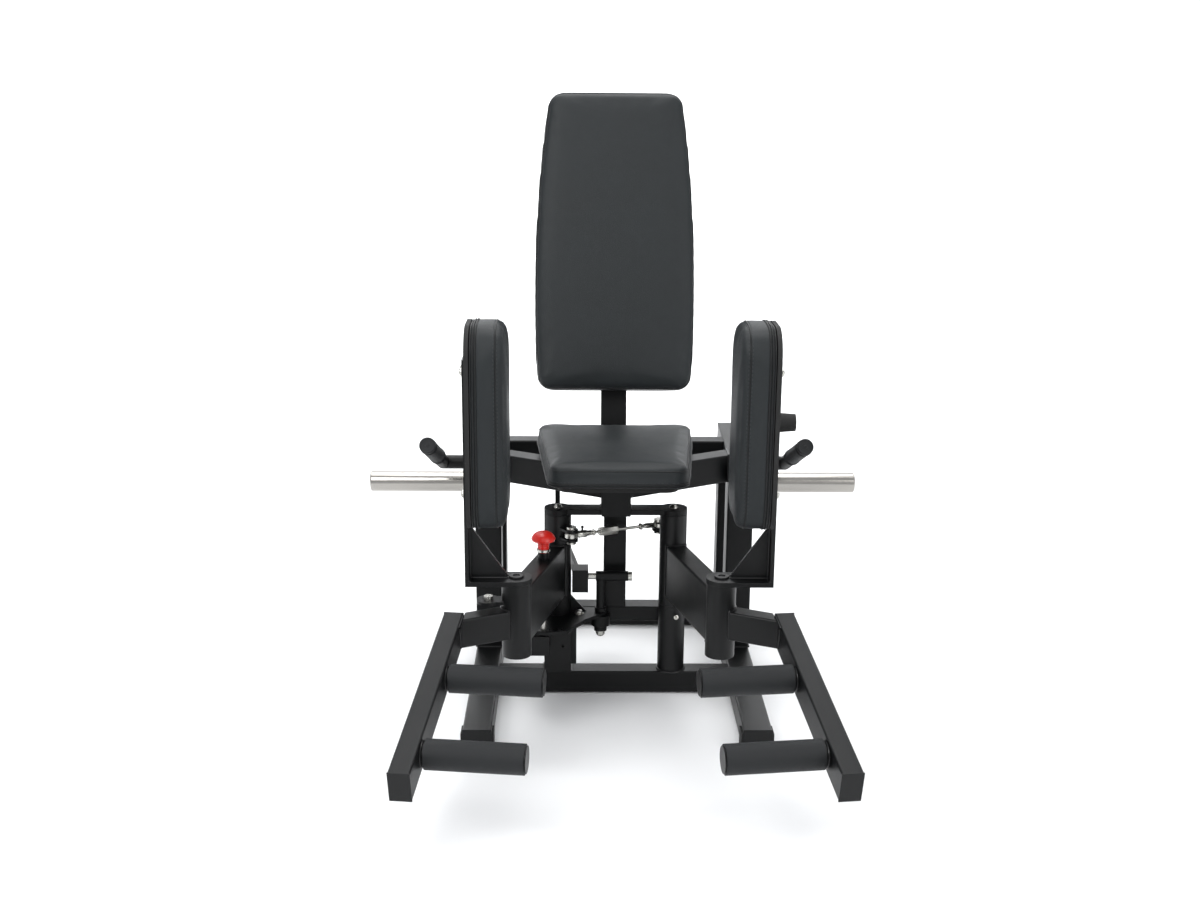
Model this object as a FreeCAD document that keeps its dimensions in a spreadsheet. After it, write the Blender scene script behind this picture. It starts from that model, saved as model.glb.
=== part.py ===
import FreeCAD, Part
import Sketcher
import math
import os
import re

# Plate-loaded hip abductor and adductor machine.
# Origin: on the floor, on the centre plane, between the two pivot columns.
# +X is to the right as seen from the front, +Y is to the rear, +Z is up. Sizes in millimetres.

Vector = FreeCAD.Vector
UP = Vector(0, 0, 1)
REARWARD = Vector(0, 1, 0)
RIGHTWARD = Vector(1, 0, 0)

SIZES = {
    # clearances
    "running_gap": 0.05, "body_gap": 0.5, "pad_gap": 0.3,
    # floor frame
    "runner_x": 290, "runner_width": 60, "runner_height": 50, "runner_front": 320, "runner_rear": 520,
    "foot_thickness": 5, "foot_length": 40, "foot_cheek": 4, "cap_thickness": 2,
    "tube_wall": 3, "tube_corner": 4, "cross_width": 50, "rear_cross_inset": 110,
    # side frames
    "upright_front": 118, "upright_depth": 60, "rail_height": 50, "rail_front": 98, "rail_length": 300,
    "rail_front_top": 509, "rail_slope": 4.5, "rear_upright_y": 340,
    # seat support
    "seat_bar_width": 50, "seat_bar_height": 64, "seat_bar_top": 523, "seat_bar_angle": 30,
    "rear_bar_y": 248, "rear_bar_width": 50, "sleeve_width": 64, "sleeve_bottom": 424,
    "post_width": 50, "post_y": 52, "lower_cross_bottom": 157, "lower_cross_height": 34,
    "bridge_top": 436, "bridge_thickness": 12, "bridge_width": 60, "bridge_bar_width": 42,
    # seat
    "seat_front": 205, "seat_rear": 184, "seat_front_width": 290, "seat_rear_width": 358,
    "seat_board_thickness": 12, "seat_thickness": 50, "seat_corner": 28, "board_inset": 22,
    # backrest
    "back_angle": 11.8, "back_low_y": 200, "back_low_z": 655, "back_height": 686, "back_width": 372,
    "back_top_width": 306, "back_low_width": 356, "back_thickness": 60, "back_board_thickness": 15,
    "back_post_width": 60, "back_post_depth": 40, "back_post_rise": 470,
    # pivot columns
    "column_x": 128, "column_dia": 60, "shaft_dia": 30, "bush_dia": 36, "bush_length": 30,
    "base_top": 212, "left_base_top": 176, "base_depth": 90, "left_sleeve_bottom": 235,
    # swing arms
    "hub_x": 207, "hub_front": 300, "hub_dia": 60, "hub_bottom": 214, "hub_top": 370, "pin_dia": 24,
    "beam_width": 46, "beam_bottom": 236, "beam_height": 118, "foot_arm_width": 40, "foot_arm_height": 60,
    "corner_x": 353, "corner_front": 368, "corner_top": 316, "foot_arm_length": 460, "corner_lap": 24,
    "splay": 6.7, "foot_slope": 12.5,
    # foot pegs
    "peg_dia": 55, "peg_length": 186, "peg_core_dia": 34, "peg_collar": 6, "upper_peg": 150,
    "lower_peg": 372,
    # thigh pad brackets and pads
    "lug_thickness": 10, "lug_width": 64, "pad_plate_x": 300, "pad_plate_thickness": 8,
    "pad_plate_top": 830,
    "gusset_height": 112, "gusset_inset": 14, "pad_board_thickness": 9, "pad_thickness": 68,
    "pad_bottom": 496, "pad_height": 403,
    "pad_width": 170, "pad_corner": 55,
    # hand grips
    "grip_tube_dia": 32, "grip_dia": 36, "grip_root_y": 170, "grip_root_z": 492, "grip_out": 75,
    "grip_end_x": 410, "grip_end_y": -20, "grip_end_z": 580, "grip_length": 135,
    # weight yoke
    "yoke_y": 460, "yoke_z": 445, "yoke_shaft_dia": 30, "bearing_width": 34, "lever_length": 172,
    "lever_tilt": 9, "horn_y": 270, "horn_z": 417, "horn_dia": 50, "horn_tip": 578,
    "horn_arm_thickness": 12,
    "horn_arm_width": 70, "horn_flange_dia": 84,
    # load link and swivel
    "link_z": 275, "link_outer_x": 96, "link_inner_x": 60, "link_front_x": 82, "link_rear_x": 150,
    "link_thickness": 8,
    "link_height": 32, "link_head_height": 52, "link_head_depth": 42, "swivel_x": 32, "swivel_dia": 20,
    "link_bolt_dia": 14, "link_eye_play": 4, "sector_thickness": 8, "sector_z": 184,
    "ear_boss_dia": 42, "ear_boss_low": 160, "sector_reach": 130,
    "selector_distance": 115, "selector_dia": 12,
    "knob_dia": 52, "knob_stem_dia": 24, "knob_stem_height": 26, "knob_cap_height": 20,
    # tie rod
    "tie_x": 98, "tie_y": 40, "tie_z": 384, "tie_eye_dia": 30, "tie_eye_height": 14, "tie_rod_dia": 14,
    "tie_bolt_dia": 12, "tie_play": 4.2, "tie_reach": 2.5,
}

doc = FreeCAD.newDocument("hip_machine")
sheet = doc.addObject("Spreadsheet::Sheet", "sizes")
for row, (alias, amount) in enumerate(SIZES.items(), start=1):
    sheet.set("A%d" % row, alias)
    sheet.set("B%d" % row, str(amount))
    sheet.setAlias("B%d" % row, alias)
doc.recompute()


class Values:
    """The sheet's numbers, read back under their own names."""


S = Values()
for alias in SIZES:
    setattr(S, alias, float(sheet.get(alias)))

nodes = []
ears = {}
arm_bolts = {}


# ---------------------------------------------------------------- builders
def linked(text):
    """An expression in which each size name points at its cell."""
    return re.sub(r"[a-z][a-z_]*", lambda m: "sizes." + m[0] if m[0] in SIZES else m[0], text)


def bind(obj, **formulas):
    for prop, text in formulas.items():
        obj.setExpression(prop, linked(text))
    return obj


def turned(start, along, up):
    """A placement whose local Z runs along and whose local Y points up."""
    side = up.cross(along).normalize()
    true_up = along.cross(side).normalize()
    return FreeCAD.Placement(start, FreeCAD.Rotation(side, true_up, along, "ZYX"))


def block(name, length, width, height, corner):
    obj = doc.addObject("Part::Box", name)
    bind(obj, Length=length, Width=width, Height=height)
    obj.Placement.Base = Vector(*corner)
    return obj


def rod(name, diameter, length, start, along=UP):
    obj = doc.addObject("Part::Cylinder", name)
    bind(obj, Radius="(%s) / 2" % diameter, Height=length)
    obj.Placement = turned(Vector(*start), Vector(*along), REARWARD if abs(along[2]) > 0.9 else UP)
    return obj


def join(name, *pieces):
    obj = doc.addObject("Part::MultiFuse", name)
    obj.Shapes = list(pieces)
    return obj


def trim(name, base, *tools):
    obj = doc.addObject("Part::Cut", name)
    obj.Base = base
    obj.Tool = tools[0] if len(tools) == 1 else join(name + "_tools", *tools)
    return obj


def group(name, *pieces):
    obj = doc.addObject("Part::Compound", name)
    obj.Links = list(pieces)
    return obj


def solid(name, shape):
    obj = doc.addObject("Part::Feature", name)
    obj.Shape = shape
    return obj


def node(obj, label):
    obj.Label = label
    nodes.append(obj)
    return obj


def add_rectangle(sketch, width, height, tag):
    """A rectangle about the sketch's origin with its two sizes bound to the sheet."""
    first = sketch.GeometryCount
    points = [Vector(-9, -9, 0), Vector(9, -9, 0), Vector(9, 9, 0), Vector(-9, 9, 0)]
    for i in range(4):
        sketch.addGeometry(Part.LineSegment(points[i], points[(i + 1) % 4]), False)
    for i in range(4):
        sketch.addConstraint(Sketcher.Constraint("Coincident", first + i, 2, first + (i + 1) % 4, 1))
    for i, kind in enumerate(("Horizontal", "Vertical", "Horizontal", "Vertical")):
        sketch.addConstraint(Sketcher.Constraint(kind, first + i))
    sketch.addConstraint(Sketcher.Constraint("Symmetric", first, 1, first + 1, 2, -1, 1))
    for kind, edge, text in (("DistanceX", 0, width), ("DistanceY", 1, height)):
        index = sketch.addConstraint(Sketcher.Constraint(kind, first + edge, 1, first + edge, 2, 18))
        sketch.renameConstraint(index, tag + kind)
        sketch.setExpression("Constraints." + tag + kind, linked(text))


def tube(name, width, height, length, start, along, up=UP, wall="tube_wall"):
    """A hollow rectangular tube with rounded long edges, padded from a sketched section."""
    body = doc.addObject("PartDesign::Body", name)
    sketch = body.newObject("Sketcher::SketchObject", name + "_section")
    plane = [item for item in body.Origin.OriginFeatures if item.Role == "XY_Plane"][0]
    sketch.AttachmentSupport = (plane, [""])
    sketch.MapMode = "FlatFace"
    add_rectangle(sketch, width, height, "outer")
    add_rectangle(sketch, "%s - 2 * %s" % (width, wall), "%s - 2 * %s" % (height, wall), "inner")
    pad = body.newObject("PartDesign::Pad", name + "_pad")
    pad.Profile = sketch
    bind(pad, Length=length)
    doc.recompute()
    reach = max(vertex.X for vertex in pad.Shape.Vertexes)
    corners = []
    for index, edge in enumerate(pad.Shape.Edges, start=1):
        ends = [vertex.Point for vertex in edge.Vertexes]
        lengthwise = abs(ends[0].z - ends[1].z) > 1
        if lengthwise and abs(abs(ends[0].x) - reach) < 0.1:
            corners.append("Edge%d" % index)
    rounding = body.newObject("PartDesign::Fillet", name + "_rounding")
    rounding.Base = (pad, corners)
    bind(rounding, Radius="tube_corner")
    body.Placement = turned(Vector(*start), Vector(*along), Vector(*up))
    return body


def envelope(name, width, height, length, start, along, up=UP):
    """The solid block that a tube of the same arguments fills."""
    obj = doc.addObject("Part::Box", name)
    bind(obj, Length=width, Width=height, Height=length)
    doc.recompute()
    frame = turned(Vector(*start), Vector(*along), Vector(*up))
    shift = Vector(-obj.Length.Value / 2, -obj.Width.Value / 2, 0)
    obj.Placement = frame.multiply(FreeCAD.Placement(shift, FreeCAD.Rotation()))
    return obj


def outline_plate(points, thickness, frame=None, corner=0.0, edge=0.0):
    """A flat prism over an outline in local XY, with rounded upright corners and rims."""
    ring = [Vector(x, y, 0) for x, y in points]
    shape = Part.Face(Part.makePolygon(ring + ring[:1])).extrude(Vector(0, 0, thickness))
    if corner:
        upright = [e for e in shape.Edges if abs(e.Vertexes[0].Z - e.Vertexes[1].Z) > thickness / 2]
        shape = shape.makeFillet(corner, upright)
    if edge:
        rims = [e for e in shape.Edges if e.BoundBox.ZLength < 0.01]
        shape = shape.makeFillet(edge, rims)
    shape.Placement = frame or FreeCAD.Placement()
    return shape


def mirrored_name(stem, sign):
    return stem + ("_left" if sign < 0 else "_right")


# ---------------------------------------------------------------- floor frame
runner_z = S.foot_thickness + S.runner_height / 2
frame_top = S.foot_thickness + S.runner_height
runner_inner = S.runner_x - S.runner_width / 2
rear_cross_y = S.runner_rear - S.rear_cross_inset
crosses = [tube("cross_tube_%d" % i, "cross_width", "runner_height", "2 * runner_x - runner_width",
                (-runner_inner, y, runner_z), RIGHTWARD) for i, y in enumerate((0, rear_cross_y))]
node(group("cross_tubes", *crosses), "floor_cross_tubes")

feet = []
for sign in (-1, 1):
    name = mirrored_name("floor_runner", sign)
    runner = tube(name + "_tube", "runner_width", "runner_height", "runner_front + runner_rear",
                  (sign * S.runner_x, -S.runner_front, runner_z), REARWARD)
    caps = []
    for end, y in ((-1, -S.runner_front), (1, S.runner_rear)):
        tag = "%d_%d" % (sign + 1, end + 1)
        low_x = sign * S.runner_x - S.runner_width / 2
        cap_y = y - S.cap_thickness if end < 0 else y
        caps.append(block("cap_" + tag, "runner_width", "cap_thickness", "runner_height",
                          (low_x, cap_y, S.foot_thickness)))
        foot_y = y if end < 0 else y - S.foot_length
        shell = block("foot_shell_" + tag, "runner_width + 2 * foot_cheek", "foot_length",
                      "foot_thickness + runner_height * 0.8", (low_x - S.foot_cheek, foot_y, 0))
        room = block("foot_room_" + tag, "runner_width", "foot_length", "runner_height",
                     (low_x, foot_y, S.foot_thickness))
        feet.append(trim("foot_" + tag, shell, room))
    node(join(name + "_capped", runner, *caps), name)
node(group("feet", *feet), "rubber_feet")

# ---------------------------------------------------------------- side frames
slope = math.radians(S.rail_slope)
rail_along = Vector(0, math.cos(slope), math.sin(slope))
rail_up = Vector(0, -math.sin(slope), math.cos(slope))
rail_start_z = S.rail_front_top - S.rail_height / 2
buffer_y = 155
buffer_z = 590
legs = {"front_upright": [], "rear_upright": []}
for sign in (-1, 1):
    x = sign * S.runner_x
    start = (x, S.rail_front, rail_start_z)
    rail = tube("rail_tube_%d" % (sign + 1), "runner_width", "rail_height", "rail_length",
                start, rail_along, rail_up)
    ends = []
    for end, distance in enumerate((-S.cap_thickness, S.rail_length)):
        place = Vector(*start) + rail_along * distance
        ends.append(envelope("rail_cap_%d_%d" % (sign + 1, end), "runner_width", "rail_height",
                             "cap_thickness", place, rail_along, rail_up))
    if sign > 0:
        post = block("buffer_post_block", "runner_width / 3", "runner_width / 3", "runner_width * 2",
                     (S.runner_x, buffer_y, S.rail_front_top - 20))
        solid_rail = envelope("buffer_rail", "runner_width", "rail_height", "rail_length", start,
                              rail_along, rail_up)
        ends.append(trim("buffer_post", post, solid_rail))
    node(join("rail_%d" % (sign + 1), rail, *ends), mirrored_name("top_rail", sign))
    for stem, y in (("front_upright", S.upright_front), ("rear_upright", S.rear_upright_y)):
        leg = tube("%s_leg_%d" % (stem, sign + 1), "runner_width", "upright_depth",
                   "rail_front_top - foot_thickness - runner_height",
                   (x, y + S.upright_depth / 2, frame_top), UP, REARWARD)
        above = envelope("%s_above_%d" % (stem, sign + 1), "2 * runner_width", "rail_height * 3",
                         "rail_length * 2",
                         Vector(*start) - rail_along * S.rail_length / 2 + rail_up * S.rail_height,
                         rail_along, rail_up)
        legs[stem].append(trim("%s_cut_%d" % (stem, sign + 1), leg, above))
for stem, pair in legs.items():
    node(group(stem + "_pair", *pair), stem + "s")

# ---------------------------------------------------------------- seat support
post_top = S.seat_bar_top
node(tube("rear_bar", "rear_bar_width", "rail_height", "2 * runner_x - runner_width",
          (-runner_inner, S.rear_bar_y + S.rear_bar_width / 2, S.seat_bar_top - S.rail_height / 2),
          RIGHTWARD), "rear_bar")

sleeve_front = -S.sleeve_width / 2
sleeve_back = S.post_y + S.post_width / 2 + S.tube_wall
sleeve_block = block("sleeve_block", "sleeve_width",
                     "post_y + post_width / 2 + tube_wall + sleeve_width / 2",
                     "seat_bar_top - sleeve_bottom", (-S.sleeve_width / 2, sleeve_front, S.sleeve_bottom))
sleeve_room = block("sleeve_room", "post_width", "post_width", "seat_bar_top - sleeve_bottom",
                    (-S.post_width / 2, S.post_y - S.post_width / 2, S.sleeve_bottom))
front_room = block("front_room", "post_width", "sleeve_width / 2 + post_y - post_width / 2 - 3 * tube_wall",
                   "seat_bar_top - sleeve_bottom - tube_wall",
                   (-S.post_width / 2, sleeve_front + S.tube_wall, S.sleeve_bottom))
node(trim("sleeve_cut", sleeve_block, sleeve_room, front_room), "post_sleeve")
node(tube("seat_post", "post_width", "post_width",
          "seat_bar_top - lower_cross_bottom - lower_cross_height",
          (0, S.post_y, S.lower_cross_bottom + S.lower_cross_height), UP, REARWARD), "seat_post")

seat_bars = []
for sign in (-1, 1):
    angle = math.radians(S.seat_bar_angle)
    along = Vector(-sign * math.cos(angle), -math.sin(angle), 0)
    reach = S.runner_x / math.cos(angle)
    start = Vector(0, 0, S.seat_bar_top - S.seat_bar_height / 2) - along * reach
    bar = tube("seat_bar_tube_%d" % (sign + 1), "seat_bar_width", "seat_bar_height",
               "runner_x / cos(seat_bar_angle * 1 deg)", start, along)
    outside = block("outside_%d" % (sign + 1), "runner_width", "rail_length", "seat_bar_height * 2",
                    (sign * S.runner_x - S.runner_width / 2, 0, S.seat_bar_top - S.seat_bar_height * 1.5))
    inside = block("inside_%d" % (sign + 1), "sleeve_width", "sleeve_width * 2", "seat_bar_height * 2",
                   (-S.sleeve_width / 2, -S.sleeve_width, S.seat_bar_top - S.seat_bar_height * 1.5))
    seat_bars.append(trim("seat_bar_cut_%d" % (sign + 1), bar, outside, inside))
node(group("seat_bar_pair", *seat_bars), "seat_bars")

# ---------------------------------------------------------------- pivot columns, fixed part
plates = []
shafts = []
for sign in (-1, 1):
    x = sign * S.column_x
    tag = str(sign + 1)
    plate = block("bridge_plate_" + tag, "column_x - sleeve_width / 2", "bridge_bar_width",
                  "bridge_thickness",
                  (x if sign < 0 else S.sleeve_width / 2, -S.bridge_bar_width / 2,
                   S.bridge_top - S.bridge_thickness))
    nose = rod("bridge_nose_" + tag, "bridge_width", "bridge_thickness",
               (x, 0, S.bridge_top - S.bridge_thickness))
    hole = rod("bridge_hole_" + tag, "tie_bolt_dia", "bridge_thickness",
               (x, 0, S.bridge_top - S.bridge_thickness))
    plates.append(trim("bridge_" + tag, join("bridge_body_" + tag, plate, nose), hole))
    shaft = rod("shaft_" + tag, "shaft_dia",
                "bridge_top - bridge_thickness - foot_thickness - runner_height",
                (x, 0, frame_top))
    tapped = rod("tapped_" + tag, "tie_bolt_dia", "bush_length",
                 (x, 0, S.bridge_top - S.bridge_thickness - S.bush_length))
    shafts.append(trim("shaft_cut_" + tag, shaft, tapped))
node(group("bridge_plate_pair", *plates), "bridge_plates")
node(group("pivot_shaft_pair", *shafts), "pivot_shafts")

base_bore = rod("base_bore_left", "shaft_dia + 2 * running_gap", "base_top", (-S.column_x, 0, 0))
base_box = block("base_box", "column_dia", "base_depth", "left_base_top - foot_thickness - runner_height",
                 (-S.column_x - S.column_dia / 2, -S.column_dia / 2, frame_top))
rest_bracket = block("rest_bracket", "column_dia * 0.7", "column_dia * 0.9", "column_dia * 0.75",
                     (-S.column_x - S.column_dia, -S.column_dia * 1.4, 118))
side_plate = block("base_side_plate", "tube_wall * 4", "tube_wall * 3", "column_dia * 1.4",
                   (-S.column_x + S.column_dia / 2, -S.column_dia / 4, 70))
node(join("base_left", trim("base_left_cut", base_box, base_bore), rest_bracket, side_plate),
     "column_base_left")
base_round = rod("base_round", "column_dia", "base_top - foot_thickness - runner_height",
                 (S.column_x, 0, frame_top))
base_bore_right = rod("base_bore_right", "shaft_dia + 2 * running_gap", "base_top", (S.column_x, 0, 0))
node(trim("base_right_cut", base_round, base_bore_right), "column_base_right")
cross_start = -S.column_x + S.column_dia / 2
lower_cross = tube("lower_cross_tube", "post_width", "lower_cross_height", "2 * column_x - column_dia / 2",
                   (cross_start, S.post_y, S.lower_cross_bottom + S.lower_cross_height / 2), RIGHTWARD)
cross_trim = rod("cross_trim", "column_dia", "base_top", (S.column_x, 0, frame_top))
node(trim("lower_cross_cut", lower_cross, cross_trim), "lower_cross_member")

bolts = []
for sign in (-1, 1):
    shank = rod("bridge_shank_%d" % (sign + 1), "tie_bolt_dia", "bush_length + bridge_thickness",
                (sign * S.column_x, 0, S.bridge_top - S.bridge_thickness - S.bush_length))
    dome = Part.makeSphere(11, Vector(sign * S.column_x, 0, S.bridge_top - 4))
    dome = dome.common(Part.makeBox(24, 24, 12, Vector(sign * S.column_x - 12, -12, S.bridge_top)))
    bolts.append(join("bridge_bolt_%d" % (sign + 1), shank, solid("bridge_dome_%d" % (sign + 1), dome)))
node(group("bridge_bolts", *bolts), "bridge_bolts")

rest_puck = rod("rest_puck_rod", "column_dia * 0.45", "column_dia / 4",
                (-S.column_x - S.column_dia * 0.68, -S.column_dia * 1.1, 118 + S.column_dia * 0.75))
buffer_cone = doc.addObject("Part::Cone", "buffer_cone")
bind(buffer_cone, Radius1="runner_width / 2.2", Radius2="runner_width / 3", Height="runner_width * 1.75")
buffer_cone.Placement = turned(
    Vector(S.runner_x + S.runner_width / 3, buffer_y + S.runner_width / 6, buffer_z), RIGHTWARD, UP)
node(group("buffers", rest_puck, buffer_cone), "rubber_buffers")


# ---------------------------------------------------------------- tie rod ears and bolts
tie_left = Vector(-S.tie_x, -S.tie_y, S.tie_z)
tie_right = Vector(S.tie_x, S.tie_y, S.tie_z)
tie_way = (tie_right - tie_left).normalize()
half_eye = S.tie_eye_height / 2
ear_thickness = 2 * S.tube_wall
beam_top = S.beam_bottom + S.beam_height
for sign, pin in ((-1, tie_left), (1, tie_right)):
    tag = str(sign + 1)
    column = Vector(sign * S.column_x, 0, 0)
    ears[sign] = []
    upper = half_eye + S.body_gap
    lower = -upper - ear_thickness
    for level, offset in enumerate((upper, lower) if sign < 0 else (lower,)):
        key = "%s_%d" % (tag, level)
        ear_way = (Vector(pin.x, pin.y, 0) - column).normalize()
        bar = envelope("ear_bar_" + key, "tie_eye_dia", "tube_wall * 2",
                       "sqrt((column_x - tie_x) ^ 2 + tie_y ^ 2)",
                       column + UP * (S.tie_z + offset + ear_thickness / 2), ear_way)
        tip = rod("ear_tip_" + key, "tie_eye_dia", "tube_wall * 2", (pin.x, pin.y, S.tie_z + offset))
        ears[sign].append(trim("ear_" + key, join("ear_body_" + key, bar, tip),
                               rod("ear_core_" + key, "column_dia", "bridge_top", (column.x, 0, 0)),
                               rod("ear_hole_" + key, "tie_bolt_dia", "bridge_top", (pin.x, pin.y, 0))))
    bolt_low = S.tie_z + lower - ear_thickness
    head_z = S.tie_z + upper + (ear_thickness if sign < 0 else 0)
    shank_text = "tie_eye_height + 2 * body_gap + %d * tube_wall" % (6 if sign < 0 else 4)
    shank = rod("tie_bolt_shank_" + tag, "tie_bolt_dia", shank_text, (pin.x, pin.y, bolt_low))
    head = rod("tie_bolt_head_" + tag, "tie_bolt_dia * 1.8", "tube_wall * 2", (pin.x, pin.y, head_z))
    nut = rod("tie_bolt_nut_" + tag, "tie_bolt_dia * 1.8", "tube_wall * 2", (pin.x, pin.y, bolt_low))
    arm_bolts[sign] = [join("tie_bolt_" + tag, shank, head, nut)]


# ---------------------------------------------------------------- swing arms
def stop_plate():
    """The small plate beside the left hub, bored for the stop bolt that is added to the arm's bolts."""
    stop_z = S.corner_top + 11
    bolt_x = -S.hub_x - S.hub_dia * 0.95
    tab = block("stop_plate_tab", "hub_dia * 0.95", "hub_dia * 0.6", "tube_wall * 2",
                (bolt_x, -S.hub_front - S.hub_dia * 0.3, stop_z))
    disc = rod("stop_plate_disc", "hub_dia * 0.8", "tube_wall * 2", (bolt_x, -S.hub_front, stop_z))
    plate = join("stop_plate_body", tab, disc)
    hub_space = rod("stop_plate_hub", "hub_dia", "bridge_top", (-S.hub_x, -S.hub_front, 0))
    seat = rod("stop_plate_hole", "selector_dia", "bridge_top", (bolt_x, -S.hub_front, 0))
    shank = rod("stop_shank", "selector_dia", "tube_wall * 4", (bolt_x, -S.hub_front, stop_z - S.tube_wall))
    head = rod("stop_head", "selector_dia * 1.5", "tube_wall * 2.5",
               (bolt_x, -S.hub_front, stop_z + S.tube_wall * 2))
    arm_bolts[-1].append(join("stop_bolt", shank, head))
    return trim("stop_plate", plate, hub_space, seat)


def swing_arm(sign):
    """One welded arm: column sleeve, beam, hub, foot offset, foot arm and its two pegs."""
    tag = str(sign + 1)
    column = Vector(sign * S.column_x, 0, 0)
    hub = Vector(sign * S.hub_x, -S.hub_front, 0)
    low = S.left_sleeve_bottom if sign < 0 else S.base_top + S.body_gap
    sleeve_text = "bridge_top - bridge_thickness - body_gap - %s" % (
        "left_sleeve_bottom" if sign < 0 else "base_top - body_gap")
    outer = rod("sleeve_outer_" + tag, "column_dia", sleeve_text, (column.x, 0, low))
    inner = rod("sleeve_inner_" + tag, "bush_dia", sleeve_text, (column.x, 0, low))
    node(join("eared_sleeve_" + tag, trim("sleeve_" + tag, outer, inner), *ears[sign]),
         mirrored_name("pivot_sleeve", sign))
    top = S.bridge_top - S.bridge_thickness - S.body_gap
    bushes = []
    for level, z in enumerate((low, top - S.bush_length)):
        ring = rod("bush_outer_%s_%d" % (tag, level), "bush_dia", "bush_length", (column.x, 0, z))
        eye = rod("bush_eye_%s_%d" % (tag, level), "shaft_dia + 2 * running_gap", "bush_length",
                  (column.x, 0, z))
        bushes.append(trim("bush_%s_%d" % (tag, level), ring, eye))
    node(group("bushes_" + tag, *bushes), mirrored_name("column_bushes", sign))

    span = "sqrt((hub_x - column_x) ^ 2 + hub_front ^ 2)"
    beam_z = S.beam_bottom + S.beam_height / 2
    beam_way = (hub - column).normalize()
    beam = tube("beam_tube_" + tag, "beam_width", "beam_height", span, column + UP * beam_z, beam_way)
    tools = [rod("beam_column_" + tag, "column_dia", "bridge_top", (column.x, 0, 0)),
             rod("beam_hub_" + tag, "hub_dia", "bridge_top", (hub.x, hub.y, 0))]
    if sign < 0:
        spot = column + beam_way * S.selector_distance
        housing = rod("housing", "knob_stem_dia", "tube_wall * 5", (spot.x, spot.y, beam_top))
        beam = join("beam_and_housing", beam, housing)
        tools.append(rod("beam_pin_hole", "selector_dia + 2 * running_gap", "bridge_top", (spot.x,
                                                                                           spot.y, 0)))
    node(trim("beam_" + tag, beam, *tools), mirrored_name("swing_beam", sign))

    hub_body = rod("hub_outer_" + tag, "hub_dia", "hub_top - hub_bottom", (hub.x, hub.y, S.hub_bottom))
    hub_bore = rod("hub_bore_" + tag, "pin_dia + 2 * running_gap", "hub_top - hub_bottom",
                   (hub.x, hub.y, S.hub_bottom))
    hub_node = trim("hub_" + tag, hub_body, hub_bore)
    if sign < 0:
        hub_node = join("hub_and_stop", hub_node, stop_plate())
    node(hub_node, mirrored_name("pad_hub", sign))

    splay = math.radians(S.splay)
    fall = math.radians(S.foot_slope)
    way = Vector(sign * math.sin(splay) * math.cos(fall), -math.cos(splay) * math.cos(fall),
                 -math.sin(fall))
    outward = Vector(sign * math.cos(splay), math.sin(splay), 0)
    rise = Vector(sign * math.sin(splay) * math.sin(fall), -math.cos(splay) * math.sin(fall),
                  math.cos(fall))
    corner = Vector(sign * S.corner_x, -S.corner_front, S.corner_top)
    start = corner - outward * S.foot_arm_width / 2 - rise * S.foot_arm_height / 2 - way * S.corner_lap
    arm = tube("foot_arm_tube_" + tag, "foot_arm_width", "foot_arm_height", "foot_arm_length + corner_lap",
               start, way, rise)
    end_plate = envelope("foot_arm_end_" + tag, "foot_arm_width", "foot_arm_height", "tube_wall",
                         start + way * (S.foot_arm_length + S.corner_lap), way, rise)
    back_plate = envelope("foot_arm_back_" + tag, "foot_arm_width", "foot_arm_height", "tube_wall",
                          start - way * S.tube_wall, way, rise)
    foot_arm = join("foot_arm_body_" + tag, arm, end_plate, back_plate)

    offset_z = S.corner_top - S.foot_arm_height / 2
    target = Vector(start.x, start.y, 0) + Vector(way.x, way.y, 0).normalize() * S.foot_arm_width / 2
    offset_way = (target - hub).normalize()
    offset = tube("offset_tube_" + tag, "foot_arm_width", "foot_arm_height",
                  "sqrt((corner_x - hub_x) ^ 2 + (corner_front - hub_front) ^ 2)",
                  hub + UP * offset_z, offset_way)
    hub_tool = rod("offset_hub_" + tag, "hub_dia", "bridge_top", (hub.x, hub.y, 0))
    arm_tool = envelope("offset_arm_" + tag, "foot_arm_width", "foot_arm_height * 3",
                        "foot_arm_length + 4 * corner_lap", start - way * 3 * S.corner_lap, way, rise)
    beyond = envelope("offset_beyond_" + tag, "foot_arm_width * 4", "foot_arm_height * 3",
                      "foot_arm_length", start - way * 3 * S.corner_lap + outward * S.foot_arm_width * 2.4,
                      way, rise)
    weldment = [foot_arm, trim("offset_" + tag, offset, hub_tool, arm_tool, beyond)]

    treads = []
    for level, distance in (("upper", S.upper_peg), ("lower", S.lower_peg)):
        root = corner + way * distance - outward * S.foot_arm_width - rise * S.foot_arm_height / 2
        inward = outward * -1
        key = "%s_%s" % (level, tag)
        core = rod("core_rod_" + key, "peg_core_dia", "peg_length - tube_wall", root, inward)
        collar = rod("core_collar_" + key, "peg_dia - 4 * tube_wall", "peg_collar", root, inward)
        end = rod("core_end_" + key, "peg_dia - 2 * tube_wall", "tube_wall",
                  root + inward * (S.peg_length - S.tube_wall), inward)
        weldment.append(join("core_" + key, core, collar, end))
        tread = rod("tread_" + key, "peg_dia", "peg_length - peg_collar - tube_wall",
                    root + inward * S.peg_collar, inward)
        bore = rod("tread_bore_" + key, "peg_core_dia", "peg_length - peg_collar - tube_wall",
                   root + inward * S.peg_collar, inward)
        treads.append(trim("peg_" + key, tread, bore))
    node(group("foot_weldment_" + tag, *weldment), mirrored_name("foot_arm", sign))
    node(group("treads_" + tag, *treads), mirrored_name("foot_pegs", sign))
    node(group("arm_bolts_" + tag, *arm_bolts[sign]), mirrored_name("arm_bolts", sign))


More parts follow.
